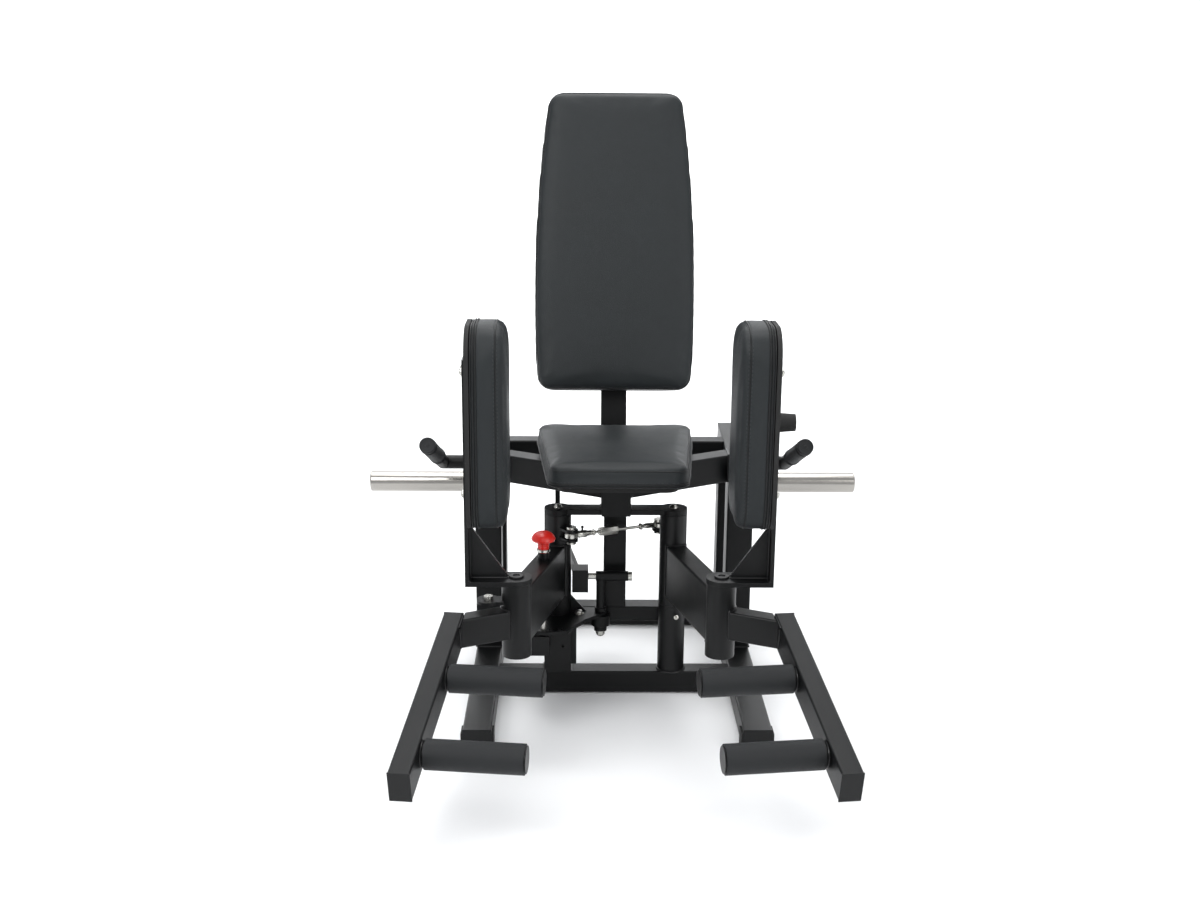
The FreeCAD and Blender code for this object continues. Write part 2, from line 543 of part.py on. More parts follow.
# ---------------------------------------------------------------- thigh pads
def thigh_pad(sign):
    """The lug, upright plate and gusset on a hub, with the padded board that it carries."""
    tag = str(sign + 1)
    hub = Vector(sign * S.hub_x, -S.hub_front, 0)
    low = S.hub_top + S.body_gap
    outer_x = S.pad_plate_x + S.pad_plate_thickness
    reach = outer_x - S.hub_x
    lug_x = S.hub_x if sign > 0 else -outer_x
    lug = block("lug_bar_" + tag, "pad_plate_x + pad_plate_thickness - hub_x", "lug_width", "lug_thickness",
                (lug_x, hub.y - S.lug_width / 2, low))
    nose = rod("lug_nose_" + tag, "lug_width", "lug_thickness", (hub.x, hub.y, low))
    plate_x = S.pad_plate_x if sign > 0 else -outer_x
    upright = block("pad_plate_" + tag, "pad_plate_thickness", "lug_width", "pad_plate_top - hub_top",
                    (plate_x, hub.y - S.lug_width / 2, low))
    base = low + S.lug_thickness
    points = [(S.gusset_inset, 0), (reach - S.pad_plate_thickness, 0), (reach - S.pad_plate_thickness,
                                                                        S.gusset_height)]
    frame = FreeCAD.Placement(Vector(hub.x, hub.y + (4 if sign > 0 else -4), base),
                              FreeCAD.Rotation(Vector(sign, 0, 0), Vector(0, 0, 1), Vector(0, -sign,
                                                                                           0), "XYZ"))
    gusset = solid("gusset_" + tag, outline_plate(points, 8, frame))
    node(join("bracket_" + tag, lug, nose, upright, gusset), mirrored_name("pad_bracket", sign))

    pin = rod("hub_pin_rod_" + tag, "pin_dia", "hub_top + body_gap - hub_bottom + tube_wall",
              (hub.x, hub.y, S.hub_bottom - S.tube_wall))
    washer = rod("hub_pin_nut_" + tag, "pin_dia + 2 * tube_wall", "tube_wall * 2",
                 (hub.x, hub.y, S.hub_bottom - S.tube_wall * 2 - S.body_gap))
    node(join("hub_pin_" + tag, pin, washer), mirrored_name("hub_pin", sign))

    low_y = hub.y - S.pad_width / 2
    width = S.pad_width
    frame_board = FreeCAD.Placement(Vector(sign * S.pad_plate_x, low_y, S.pad_bottom),
                                    FreeCAD.Rotation(REARWARD, UP, RIGHTWARD, "XYZ"))
    board_shape = outline_plate([(0, 0), (width, 0), (width, S.pad_height), (0, S.pad_height)],
                                S.pad_board_thickness, None, S.pad_corner)
    shift = -S.pad_board_thickness if sign > 0 else 0
    board_shape.Placement = frame_board.multiply(FreeCAD.Placement(Vector(0, 0, shift), FreeCAD.Rotation()))
    node(solid("pad_board_" + tag, board_shape), mirrored_name("pad_board", sign))
    pad_shape = outline_plate([(0, 0), (width, 0), (width, S.pad_height), (0, S.pad_height)],
                              S.pad_thickness, None, S.pad_corner, 12)
    gap = S.pad_board_thickness + S.pad_gap
    shift = -gap - S.pad_thickness if sign > 0 else gap
    pad_shape.Placement = frame_board.multiply(FreeCAD.Placement(Vector(0, 0, shift), FreeCAD.Rotation()))
    node(solid("thigh_pad_solid_" + tag, pad_shape), mirrored_name("thigh_pad", sign))


for side in (-1, 1):
    swing_arm(side)
    thigh_pad(side)

# ---------------------------------------------------------------- start selector and sector
left_column = Vector(-S.column_x, 0, 0)
left_way = (Vector(-S.hub_x, -S.hub_front, 0) - left_column).normalize()
spot = left_column + left_way * S.selector_distance
housing_height = S.tube_wall * 5
pin_top = beam_top + housing_height + S.body_gap
node(rod("selector_pin_rod", "selector_dia",
         "beam_bottom + beam_height + tube_wall * 5 + body_gap - sector_z",
         (spot.x, spot.y, S.sector_z)), "selector_pin")
stem = S.knob_stem_dia / 2
brim = S.knob_dia / 2
neck_z = S.knob_stem_height
crown_z = neck_z + S.knob_cap_height
knob_profile = [Vector(0, 0, 0), Vector(stem, 0, 0), Vector(stem, 0, neck_z - 4), Vector(brim - 2, 0,
                                                                                         neck_z),
                Vector(brim, 0, neck_z + 4)]
crown = Vector(stem / 3, 0, crown_z)
knob_arc = Part.Arc(knob_profile[-1], Vector(brim * 0.72, 0, crown_z - 5), crown).toShape()
knob_edges = [Part.makeLine(knob_profile[i], knob_profile[i + 1]) for i in range(4)]
knob_edges += [knob_arc, Part.makeLine(crown, Vector(0, 0, crown_z)), Part.makeLine(Vector(0, 0,
                                                                                           crown_z),
                                                                                           Vector(0, 0, 0))]
knob_shape = Part.Face(Part.Wire(knob_edges)).revolve(Vector(0, 0, 0), UP, 360)
knob_shape.translate(Vector(spot.x, spot.y, pin_top))
node(solid("knob_solid", knob_shape), "selector_knob")

sector_hub = rod("sector_hub", "column_dia", "left_sleeve_bottom - body_gap - left_base_top - body_gap",
                 (-S.column_x, 0, S.left_base_top + S.body_gap))
reach = S.sector_reach
fan = [(-30, 24), (-62, -60), (-58, -118), (-20, -reach), (22, -reach + 10), (62, -52), (96, -20),
       (112, 0), (96, 20),
       (30, 24)]
fan_shape = outline_plate(fan, S.sector_thickness, None, 8)
fan_shape.translate(Vector(-S.column_x, 0, S.sector_z))
sector_bore = rod("sector_bore", "shaft_dia + 2 * running_gap", "bridge_top", (-S.column_x, 0, 0))
swivel_hole = rod("swivel_hole", "swivel_dia + 2 * running_gap", "bridge_top", (-S.swivel_x, 0, 0))
index_holes = []
base_angle = math.atan2(left_way.y, left_way.x)
for step in range(-1, 3):
    angle = base_angle + math.radians(9 * step)
    place = left_column + Vector(math.cos(angle), math.sin(angle), 0) * S.selector_distance
    index_holes.append(rod("index_hole_%d" % (step + 1), "selector_dia + 2 * running_gap", "bridge_top",
                           (place.x, place.y, 0)))
ear_boss = rod("ear_boss", "ear_boss_dia", "sector_z - ear_boss_low", (-S.swivel_x, 0, S.ear_boss_low))
web_frame = FreeCAD.Placement(Vector(-S.column_x, 3, S.sector_z + S.sector_thickness),
                              FreeCAD.Rotation(RIGHTWARD, UP, Vector(0, -1, 0), "XYZ"))
web = solid("sector_web", outline_plate([(18, 0), (64, 0), (28, 40), (18, 40)], 6, web_frame))
node(trim("sector", join("sector_body", sector_hub, solid("sector_fan", fan_shape), ear_boss, web),
          sector_bore,
          swivel_hole, *index_holes), "index_sector")

# ---------------------------------------------------------------- load swivel, link and weight yoke
swivel_stem = rod("swivel_stem", "swivel_dia", "link_z - ear_boss_low + 16", (-S.swivel_x, 0,
                                                                              S.ear_boss_low - 16))
swivel_nut = rod("swivel_nut", "swivel_dia + 3 * tube_wall", "tube_wall * 4",
                 (-S.swivel_x, 0, S.ear_boss_low - S.body_gap - S.tube_wall * 4))
swivel_collar = rod("swivel_collar", "swivel_dia + 2 * tube_wall", "tube_wall * 3",
                    (-S.swivel_x, 0, S.sector_z + S.sector_thickness + S.body_gap))
bush_left = -S.swivel_x - S.swivel_dia / 2 - 1
cross_bush = rod("cross_bush", "link_bolt_dia * 1.6", "swivel_x + swivel_dia * 2",
                 (bush_left, 0, S.link_z), RIGHTWARD)
node(join("swivel_body", swivel_stem, swivel_nut, swivel_collar, cross_bush), "load_swivel")
cross_bolt = rod("cross_bolt_rod", "link_bolt_dia", "link_outer_x - 6 - swivel_x - swivel_dia / 2 - 1",
                 (-S.link_outer_x + 6, 0, S.link_z), RIGHTWARD)
cap_nut = rod("cap_nut_rod", "link_bolt_dia * 1.5", "tube_wall * 3",
              (bush_left + S.swivel_x + 2 * S.swivel_dia, 0, S.link_z), RIGHTWARD)
node(group("swivel_bolt_and_nut", cross_bolt, cap_nut), "swivel_bolt")

tilt = math.radians(S.lever_tilt)
lever_pin_y = S.yoke_y + S.lever_length * math.sin(tilt)
lever_pin_z = S.yoke_z - S.lever_length * math.cos(tilt)
link_head = block("link_head", "link_outer_x - link_inner_x", "link_head_depth", "link_head_height",
                  (-S.link_outer_x, -S.link_head_depth / 3, S.link_z - S.link_head_height * 0.66))
link_start = Vector(-S.link_front_x, 0, S.link_z)
link_end = Vector(-S.link_rear_x, lever_pin_y, lever_pin_z)
link_bar = envelope("link_bar", "link_thickness", "link_height",
                    "sqrt((link_rear_x - link_front_x) ^ 2 + (yoke_y + lever_length * sin(lever_tilt * 1 deg)) ^ 2)",
                    link_start, (link_end - link_start).normalize())
rear_left = -S.link_rear_x - S.link_thickness
rear_boss = rod("link_rear_boss", "link_height", "2 * link_thickness", (rear_left, lever_pin_y,
                                                                        lever_pin_z),
                RIGHTWARD)
front_eye = rod("link_front_eye", "link_bolt_dia + 2 * link_eye_play", "link_outer_x",
                (-S.link_outer_x, 0, S.link_z), RIGHTWARD)
rear_eye = rod("link_rear_eye", "link_bolt_dia + 2 * running_gap", "2 * link_thickness",
               (rear_left, lever_pin_y, lever_pin_z), RIGHTWARD)
node(trim("link", join("link_body", link_head, link_bar, rear_boss), front_eye, rear_eye), "load_link")

shaft_half = S.runner_x + S.runner_width / 2 + S.body_gap
node(rod("yoke_shaft_rod", "yoke_shaft_dia", "2 * runner_x + runner_width + 2 * body_gap",
         (-shaft_half, S.yoke_y, S.yoke_z), RIGHTWARD), "yoke_shaft")
lever_x = -S.link_rear_x + S.link_thickness + S.body_gap
lever_way = Vector(0, math.sin(tilt), -math.cos(tilt))
lever_bar = envelope("lever_bar", "horn_arm_thickness", "link_height + 2 * tube_wall", "lever_length",
                     (lever_x + S.horn_arm_thickness / 2, S.yoke_y, S.yoke_z), lever_way, REARWARD)
lever_boss = rod("lever_boss", "yoke_shaft_dia * 1.9", "yoke_shaft_dia * 1.5", (lever_x, S.yoke_y,
                                                                                S.yoke_z), RIGHTWARD)
lever_foot = rod("lever_foot", "link_height + 2 * tube_wall", "horn_arm_thickness",
                 (lever_x, lever_pin_y, lever_pin_z), RIGHTWARD)
lever_bore = rod("lever_bore", "yoke_shaft_dia", "yoke_shaft_dia * 3", (lever_x - 5, S.yoke_y,
                                                                        S.yoke_z), RIGHTWARD)
lever_pin = rod("lever_pin", "link_bolt_dia",
                "2 * link_thickness + tube_wall + body_gap + horn_arm_thickness",
                (rear_left - S.tube_wall, lever_pin_y, lever_pin_z), RIGHTWARD)
node(trim("lever_cut", join("lever_body", lever_bar, lever_boss, lever_foot, lever_pin), lever_bore),
     "yoke_lever")

horn_way = Vector(0, S.horn_y - S.yoke_y, S.horn_z - S.yoke_z).normalize()
horn_arms = []
horns = []
bearings = []
horn_span = "sqrt((yoke_y - horn_y) ^ 2 + (yoke_z - horn_z) ^ 2)"
for sign in (-1, 1):
    tag = str(sign + 1)
    face = shaft_half if sign > 0 else -shaft_half - S.horn_arm_thickness
    centre = face + S.horn_arm_thickness / 2
    bar = envelope("horn_arm_bar_" + tag, "horn_arm_thickness", "horn_arm_width", horn_span,
                   (centre, S.yoke_y, S.yoke_z), horn_way)
    front = rod("horn_arm_front_" + tag, "horn_arm_width", "horn_arm_thickness", (face, S.horn_y, S.horn_z),
                RIGHTWARD)
    back = rod("horn_arm_back_" + tag, "horn_arm_width", "horn_arm_thickness", (face, S.yoke_y, S.yoke_z),
               RIGHTWARD)
    horn_root = sign * (shaft_half + S.horn_arm_thickness)
    outward = Vector(sign, 0, 0)
    horn = rod("horn_rod_" + tag, "horn_dia",
               "horn_tip - runner_x - runner_width / 2 - body_gap - horn_arm_thickness",
               (horn_root, S.horn_y, S.horn_z), outward)
    bevel = doc.addObject("Part::Chamfer", "horn_bevel_" + tag)
    bevel.Base = horn
    doc.recompute()
    rims = [i for i, e in enumerate(horn.Shape.Edges, start=1)
            if abs(abs(e.BoundBox.Center.x) - S.horn_tip) < 0.5 and e.BoundBox.XLength < 0.01]
    bevel.Edges = [(i, 3.0, 3.0) for i in rims]
    flange = rod("horn_flange_" + tag, "horn_flange_dia", "tube_wall * 2", (horn_root, S.horn_y,
                                                                            S.horn_z), outward)
    horns.append(trim("horn_cut_" + tag, bevel, flange))
    ring = rod("horn_ring_" + tag, "horn_flange_dia", "tube_wall * 2", (horn_root, S.horn_y, S.horn_z),
               outward)
    horn_arms.append(join("horn_arm_body_" + tag, bar, front, back, ring))

    bearing_x = sign * S.runner_x - S.bearing_width / 2
    plate = block("bearing_block_" + tag, "bearing_width",
                  "yoke_y + bearing_width - rear_upright_y - upright_depth",
                  "bearing_width * 2", (bearing_x, S.rear_upright_y + S.upright_depth,
                                        S.yoke_z - S.bearing_width))
    bore = rod("bearing_bore_" + tag, "yoke_shaft_dia + 2 * running_gap", "bearing_width",
               (bearing_x, S.yoke_y, S.yoke_z), RIGHTWARD)
    bearings.append(trim("bearing_" + tag, plate, bore))
node(group("horn_arm_pair", *horn_arms), "horn_arms")
node(group("weight_horn_pair", *horns), "weight_horns")
node(group("yoke_bearing_pair", *bearings), "yoke_bearings")

# ---------------------------------------------------------------- tie rod between the arms
span = (tie_right - tie_left).Length + S.tie_reach
eye_end = tie_left + tie_way * span
tie_bar = rod("tie_bar", "tie_rod_dia", "2 * sqrt(tie_x ^ 2 + tie_y ^ 2) + tie_reach", tie_left, tie_way)
buckle = rod("tie_buckle", "tie_rod_dia * 1.4", "tie_x", tie_left + tie_way * S.tie_x * 0.55, tie_way)
eye_left = rod("tie_eye_left", "tie_eye_dia", "tie_eye_height", tie_left - UP * half_eye)
eye_right = rod("tie_eye_right", "tie_eye_dia", "tie_eye_height", eye_end - UP * half_eye)
hole_left = rod("tie_hole_left", "tie_bolt_dia + 2 * running_gap", "tie_eye_height",
                tie_left - UP * half_eye)
hole_right = rod("tie_hole_right", "tie_bolt_dia + 2 * tie_play", "tie_eye_height", eye_end - UP * half_eye)
node(trim("tie_rod_cut", join("tie_rod_body", tie_bar, buckle, eye_left, eye_right), hole_left, hole_right),
     "tie_rod")

# ---------------------------------------------------------------- seat and backrest
seat_low = S.seat_bar_top + S.seat_board_thickness + S.pad_gap


def seat_outline(inset):
    front = S.seat_front_width / 2 - inset
    rear = S.seat_rear_width / 2 - inset
    return [(-front, -S.seat_front + inset), (front, -S.seat_front + inset), (rear, S.seat_rear - inset),
            (-rear, S.seat_rear - inset)]


seat_shape = outline_plate(seat_outline(0), S.seat_thickness, None, S.seat_corner, 10)
seat_shape.translate(Vector(0, 0, seat_low))
node(solid("seat_solid", seat_shape), "seat_pad")
board_shape = outline_plate(seat_outline(S.board_inset), S.seat_board_thickness, None, S.seat_corner)
board_shape.translate(Vector(0, 0, S.seat_bar_top))
node(solid("seat_board_solid", board_shape), "seat_board")

lean = math.radians(S.back_angle)
back_up = Vector(0, math.sin(lean), math.cos(lean))
back_rear = Vector(0, math.cos(lean), -math.sin(lean))
back_frame = FreeCAD.Placement(Vector(0, S.back_low_y, S.back_low_z),
                               FreeCAD.Rotation(Vector(-1, 0, 0), back_up, back_rear, "XYZ"))


def back_outline(inset):
    """Right and left sides bow outward between the foot, the widest line and the narrow top."""
    low = S.back_low_width / 2 - inset
    wide = S.back_width / 2 - inset
    top = S.back_top_width / 2 - inset
    height = S.back_height
    widest = height * 0.42
    right = [Vector(low, inset, 0), Vector(wide, widest, 0), Vector(top, height - inset, 0)]
    left = [Vector(-p.x, p.y, 0) for p in reversed(right)]
    return [Part.Arc(*right).toShape(), Part.makeLine(right[2], left[0]), Part.Arc(*left).toShape(),
            Part.makeLine(left[2], right[0])]


def back_panel(inset, thickness, offset, edge):
    shape = Part.Face(Part.Wire(back_outline(inset))).extrude(Vector(0, 0, thickness))
    upright = [e for e in shape.Edges if len(e.Vertexes) == 2 and e.BoundBox.XLength < 0.01
               and e.BoundBox.YLength < 0.01]
    shape = shape.makeFillet(S.seat_corner, upright)
    if edge:
        shape = shape.makeFillet(edge, [e for e in shape.Edges if e.BoundBox.ZLength < 0.01])
    shape.Placement = back_frame.multiply(FreeCAD.Placement(Vector(0, 0, offset), FreeCAD.Rotation()))
    return shape


node(solid("back_pad_solid", back_panel(0, S.back_thickness, 0, 10)), "back_pad")
board_offset = S.back_thickness + S.pad_gap
node(solid("back_board_solid", back_panel(S.board_inset, S.back_board_thickness, board_offset, 0)),
     "back_board")
post_low = Vector(0, S.back_low_y, S.back_low_z) + back_rear * (
    board_offset + S.back_board_thickness + S.back_post_depth / 2) - back_up * 180
back_post = tube("back_post_tube", "back_post_width", "back_post_depth", "back_post_rise + 180",
                 post_low, back_up,
                 back_rear)
post_floor = block("post_floor", "rear_bar_width * 4", "rail_length * 2", "seat_bar_top",
                   (-S.rear_bar_width * 2, 0, 0))
node(trim("back_post_cut", back_post, post_floor), "back_post")

# ---------------------------------------------------------------- hand grips
bars = []
grips = []
for sign in (-1, 1):
    tag = str(sign + 1)
    root_x = S.runner_x + S.runner_width / 2
    root = Vector(sign * root_x, S.grip_root_y, S.grip_root_z)
    bend = Vector(sign * (root_x + S.grip_out), S.grip_root_y, S.grip_root_z)
    end = Vector(sign * S.grip_end_x, S.grip_end_y, S.grip_end_z)
    way = (end - bend).normalize()
    run = "sqrt((grip_end_x - runner_x - runner_width / 2 - grip_out) ^ 2 + (grip_root_y - grip_end_y) ^ 2" \
          " + (grip_end_z - grip_root_z) ^ 2)"
    stub = rod("grip_stub_" + tag, "grip_tube_dia", "grip_out", root, Vector(sign, 0, 0))
    elbow = solid("grip_elbow_" + tag, Part.makeSphere(S.grip_tube_dia / 2, bend))
    arm = rod("grip_arm_" + tag, "grip_tube_dia", run, bend, way)
    bars.append(join("grip_bar_" + tag, stub, elbow, arm))
    start = end - way * S.grip_length
    outer = rod("grip_outer_" + tag, "grip_dia", "grip_length + tube_wall", start, way)
    inner = rod("grip_inner_" + tag, "grip_tube_dia", "grip_length", start, way)
    grips.append(trim("grip_" + tag, outer, inner))
node(group("grip_bar_pair", *bars), "grip_bars")
node(group("hand_grip_pair", *grips), "hand_grips")

# ---------------------------------------------------------------- check and write
doc.recompute()
for obj in doc.Objects:
    if "Invalid" in obj.State or "Error" in obj.State:
        raise RuntimeError("%s failed: %s" % (obj.Name, obj.State))
os.makedirs("parts", exist_ok=True)
for obj in nodes:
    shape = obj.Shape
    if shape.isNull() or not shape.isValid() or not shape.Solids:
        raise RuntimeError("%s has no sound shape" % obj.Label)
    shape.exportStep("parts/%s.step" % obj.Label)
    print(obj.Label, len(shape.Solids), round(shape.Volume))
print(len(nodes), "nodes")
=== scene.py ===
import logging
import math
from dataclasses import dataclass, field
from enum import Enum
from typing import Callable, Iterable, Optional, Sequence

import bpy
import numpy as np
from mathutils import Matrix, Vector
from mathutils.bvhtree import BVHTree


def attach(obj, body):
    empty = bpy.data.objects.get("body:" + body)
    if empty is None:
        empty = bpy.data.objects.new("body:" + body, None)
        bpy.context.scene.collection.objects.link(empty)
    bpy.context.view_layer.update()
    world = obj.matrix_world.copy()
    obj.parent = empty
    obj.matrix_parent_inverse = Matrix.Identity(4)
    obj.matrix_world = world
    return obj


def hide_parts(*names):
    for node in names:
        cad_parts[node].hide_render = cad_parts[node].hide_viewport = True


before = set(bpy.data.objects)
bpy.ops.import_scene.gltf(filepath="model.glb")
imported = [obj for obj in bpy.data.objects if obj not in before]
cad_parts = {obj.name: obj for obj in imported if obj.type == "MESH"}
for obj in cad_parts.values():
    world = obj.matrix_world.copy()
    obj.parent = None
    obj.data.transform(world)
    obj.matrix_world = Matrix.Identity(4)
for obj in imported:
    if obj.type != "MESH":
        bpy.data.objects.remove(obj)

logging.basicConfig(level=logging.INFO, format="%(message)s")
LOG = logging.getLogger("hip_machine")

MM = 0.001
SEAT_DEPTH = 389.0
BACK_HEIGHT = 686.0
BACK_LEAN = 11.8
HELD_BELOW = 4.0
Part = tuple[np.ndarray, list[tuple[int, ...]]]


def metres(*values: float) -> np.ndarray:
    """Turn millimetres into metres.

    Args:
        values: One or more lengths in millimetres.

    Returns:
        The same lengths in metres.
    """
    return np.array(values, dtype=float) * MM


# ---------------------------------------------------------------- sizes and finishes
@dataclass(frozen=True)
class Layout:
    """Where the machine's main lines lie, in millimetres."""

    column_x: float = 128.0
    hub_x: float = 207.0
    hub_y: float = -300.0
    beam_low: float = 236.0
    beam_top: float = 354.0
    beam_half: float = 23.0
    offset_half: float = 20.0
    offset_low: float = 256.0
    offset_top: float = 316.0
    cross_top: float = 55.0
    plate_x: float = 308.0
    lug_top: float = 380.5
    tie_z: float = 384.0
    corner_x: float = 353.0
    corner_y: float = -368.0
    corner_z: float = 316.0
    splay: float = 6.7
    fall: float = 12.5


SIZES = Layout()


@dataclass(frozen=True)
class Finish:
    """One surface finish.

    Attributes:
        colour: The base colour as an sRGB hex string.
        roughness: The microfacet roughness.
        metallic: 1 for bare metal, 0 for the rest.
        coat: How much clear coat lies on top.
        mottle: How far the colour drifts from place to place, 0 to 1.
        grain_mm: The size of the fine surface relief.
        relief_mm: The height of that relief.
        edge_mm: How far shading rounds sharp edges.
        sheen_level: How strongly the surface mirrors its surroundings, 0.5 for plain plastic.
    """

    colour: str
    roughness: float
    metallic: float = 0.0
    coat: float = 0.0
    mottle: float = 0.15
    grain_mm: float = 1.0
    relief_mm: float = 0.02
    edge_mm: float = 0.0
    sheen_level: float = 0.5


class Look(Enum):
    """The finishes that the machine is made in."""

    POWDER_COAT = Finish("#08090a", 0.46, coat=0.03, mottle=0.10, grain_mm=1.1, relief_mm=0.03, edge_mm=2.2,
                         sheen_level=0.2)
    ARM_COAT = Finish("#0a0b0c", 0.40, coat=0.05, mottle=0.10, grain_mm=1.1, relief_mm=0.03, edge_mm=2.2,
                      sheen_level=0.25)
    # Weld beads carry the same black coat as the frame; their base colour is set lighter as a painted
    # highlight for light caught on the rippled beads, while the extra coat and specular level are real
    # gloss.
    WELD_COAT_PAINTED_HIGHLIGHT = Finish("#0d0e0f", 0.36, coat=0.08, mottle=0.2, grain_mm=2.0, relief_mm=0.05,
                       sheen_level=0.3)
    LEATHERETTE = Finish("#1c2022", 0.50, mottle=0.10, grain_mm=1.3, relief_mm=0.07, sheen_level=0.3)
    PIPING = Finish("#101213", 0.48, mottle=0.08, grain_mm=1.2, relief_mm=0.04, sheen_level=0.3)
    THREAD = Finish("#303335", 0.75, mottle=0.1, grain_mm=0.6, relief_mm=0.03)
    BOARD = Finish("#0c0c0c", 0.7, mottle=0.1, grain_mm=2.0, relief_mm=0.05)
    GRIP_RUBBER = Finish("#191b1d", 0.60, mottle=0.12, grain_mm=0.9, relief_mm=0.08, sheen_level=0.35)
    FOOT_RUBBER = Finish("#0e0e0e", 0.78, mottle=0.1, grain_mm=1.0, relief_mm=0.06)
    CHROME = Finish("#a9a6a1", 0.22, metallic=1.0, mottle=0.05, grain_mm=0.7, relief_mm=0.006, edge_mm=0.8)
    STEEL = Finish("#b5b4af", 0.30, metallic=1.0, mottle=0.08, grain_mm=0.6, relief_mm=0.01, edge_mm=0.8)
    ZINC = Finish("#c4c3bd", 0.27, metallic=1.0, mottle=0.12, grain_mm=0.8, relief_mm=0.015, edge_mm=0.6)
    BRONZE = Finish("#8f6f3e", 0.38, metallic=1.0, mottle=0.12, grain_mm=0.8, relief_mm=0.015)
    RED_PLASTIC = Finish("#d9241b", 0.34, coat=0.25, mottle=0.04, grain_mm=1.0, relief_mm=0.006)
    DARK_STEEL = Finish("#2b2b2c", 0.35, metallic=0.7, mottle=0.1, grain_mm=0.8, relief_mm=0.015,
                        edge_mm=0.6)
    STUDIO_FLOOR = Finish("#f2f3f4", 0.62, mottle=0.0, grain_mm=3.0, relief_mm=0.02)


def linear_colour(code: str) -> tuple[float, float, float, float]:
    """Convert an sRGB hex colour to scene-linear RGBA.

    Args:
        code: A string such as "#1a1b1c".

    Returns:
        Linear red, green, blue and an alpha of 1.
    """
    channels = [int(code[i:i + 2], 16) / 255 for i in (1, 3, 5)]
    linear = [c / 12.92 if c <= 0.04045 else ((c + 0.055) / 1.055) ** 2.4 for c in channels]
    return (linear[0], linear[1], linear[2], 1.0)


# ---------------------------------------------------------------- materials
class MaterialShop:
    """Makes each finish's material once and hands it out again."""

    def __init__(self) -> None:
        """Start with no materials made."""
        self._made: dict[Look, bpy.types.Material] = {}

    def get(self, look: Look) -> bpy.types.Material:
        """Return the material of a finish, made on first use.

        Args:
            look: The finish wanted.

        Returns:
            The Blender material.
        """
        if look not in self._made:
            self._made[look] = self._build(look)
        return self._made[look]

    @staticmethod
    def _add(tree: bpy.types.NodeTree, kind: str, **inputs: object) -> bpy.types.Node:
        """Add a shader node and set its input sockets.

        Args:
            tree: The node tree to add to.
            kind: The node's type name.
            inputs: Values or output sockets by input name, spaces as underscores.

        Returns:
            The new node.
        """
        node = tree.nodes.new(kind)
        for key, value in inputs.items():
            socket = node.inputs[key.replace("_", " ")]
            if isinstance(value, bpy.types.NodeSocket):
                tree.links.new(value, socket)
            else:
                socket.default_value = value
        return node

    def _build(self, look: Look) -> bpy.types.Material:
        """Build one principled material with procedural colour drift and fine relief.

        Args:
            look: The finish to build.

        Returns:
            The Blender material.
        """
        finish = look.value
        material = bpy.data.materials.new(look.name.lower())
        material.use_nodes = True
        tree = material.node_tree
        tree.nodes.clear()
        base = linear_colour(finish.colour)
        place = self._add(tree, "ShaderNodeTexCoord").outputs["Object"]
        clouds = self._add(tree, "ShaderNodeTexNoise", Vector=place, Scale=9.0, Detail=4.0, Roughness=0.6)
        ramp = self._add(tree, "ShaderNodeMapRange", Value=clouds.outputs["Fac"], From_Min=0.3,
                         From_Max=0.7,
                         To_Min=1.0 - finish.mottle, To_Max=1.0 + finish.mottle)
        tint = tree.nodes.new("ShaderNodeVectorMath")
        tint.operation = "SCALE"
        tint.inputs[0].default_value = base[:3]
        tree.links.new(ramp.outputs["Result"], tint.inputs["Scale"])
        wear = self._add(tree, "ShaderNodeMapRange", Value=clouds.outputs["Fac"], From_Min=0.2,
                         From_Max=0.8,
                         To_Min=finish.roughness * 0.88, To_Max=finish.roughness * 1.12)
        grain_scale = 1.0 / (finish.grain_mm * MM)
        if look in (Look.LEATHERETTE, Look.PIPING, Look.GRIP_RUBBER):
            cells = self._add(tree, "ShaderNodeTexVoronoi", Vector=place, Scale=grain_scale)
            height = cells.outputs["Distance"]
        elif look in (Look.CHROME, Look.STEEL):
            squeeze = self._add(tree, "ShaderNodeMapping", Vector=place, Scale=(1.0, 0.06, 1.0))
            streaks = self._add(tree, "ShaderNodeTexNoise", Vector=squeeze.outputs["Vector"],
                                Scale=grain_scale, Detail=3.0)
            height = streaks.outputs["Fac"]
        else:
            peel = self._add(tree, "ShaderNodeTexNoise", Vector=place, Scale=grain_scale, Detail=2.0)
            height = peel.outputs["Fac"]
        relief = self._add(tree, "ShaderNodeBump", Strength=0.6, Distance=finish.relief_mm * MM * 6,
                           Height=height)
        if finish.edge_mm:
            rounding = self._add(tree, "ShaderNodeBevel", Radius=finish.edge_mm * MM)
            rounding.samples = 4
            tree.links.new(rounding.outputs["Normal"], relief.inputs["Normal"])
        shader = self._add(tree, "ShaderNodeBsdfPrincipled", Base_Color=tint.outputs["Vector"],
                           Roughness=wear.outputs["Result"], Metallic=finish.metallic,
                           Specular_IOR_Level=finish.sheen_level, Coat_Weight=finish.coat,
                           Coat_Roughness=0.25,
                           Normal=relief.outputs["Normal"])
        output = tree.nodes.new("ShaderNodeOutputMaterial")
        tree.links.new(shader.outputs["BSDF"], output.inputs["Surface"])
        return material


SHOP = MaterialShop()


# ---------------------------------------------------------------- mesh parts
def unit(vector: Sequence[float]) -> np.ndarray:
    """Return a vector scaled to length 1."""
    array = np.asarray(vector, dtype=float)
    return array / np.linalg.norm(array)


def cross_frame(axis: Sequence[float]) -> tuple[np.ndarray, np.ndarray]:
    """Find two unit vectors square to an axis and to each other.

    Args:
        axis: The direction to be square to.

    Returns:
        The two side directions, which with the axis make a right-handed set.
    """
    along = unit(axis)
    helper = np.array([0.0, 0.0, 1.0]) if abs(along[2]) < 0.9 else np.array([0.0, 1.0, 0.0])
    first = unit(np.cross(helper, along))
    return first, np.cross(along, first)


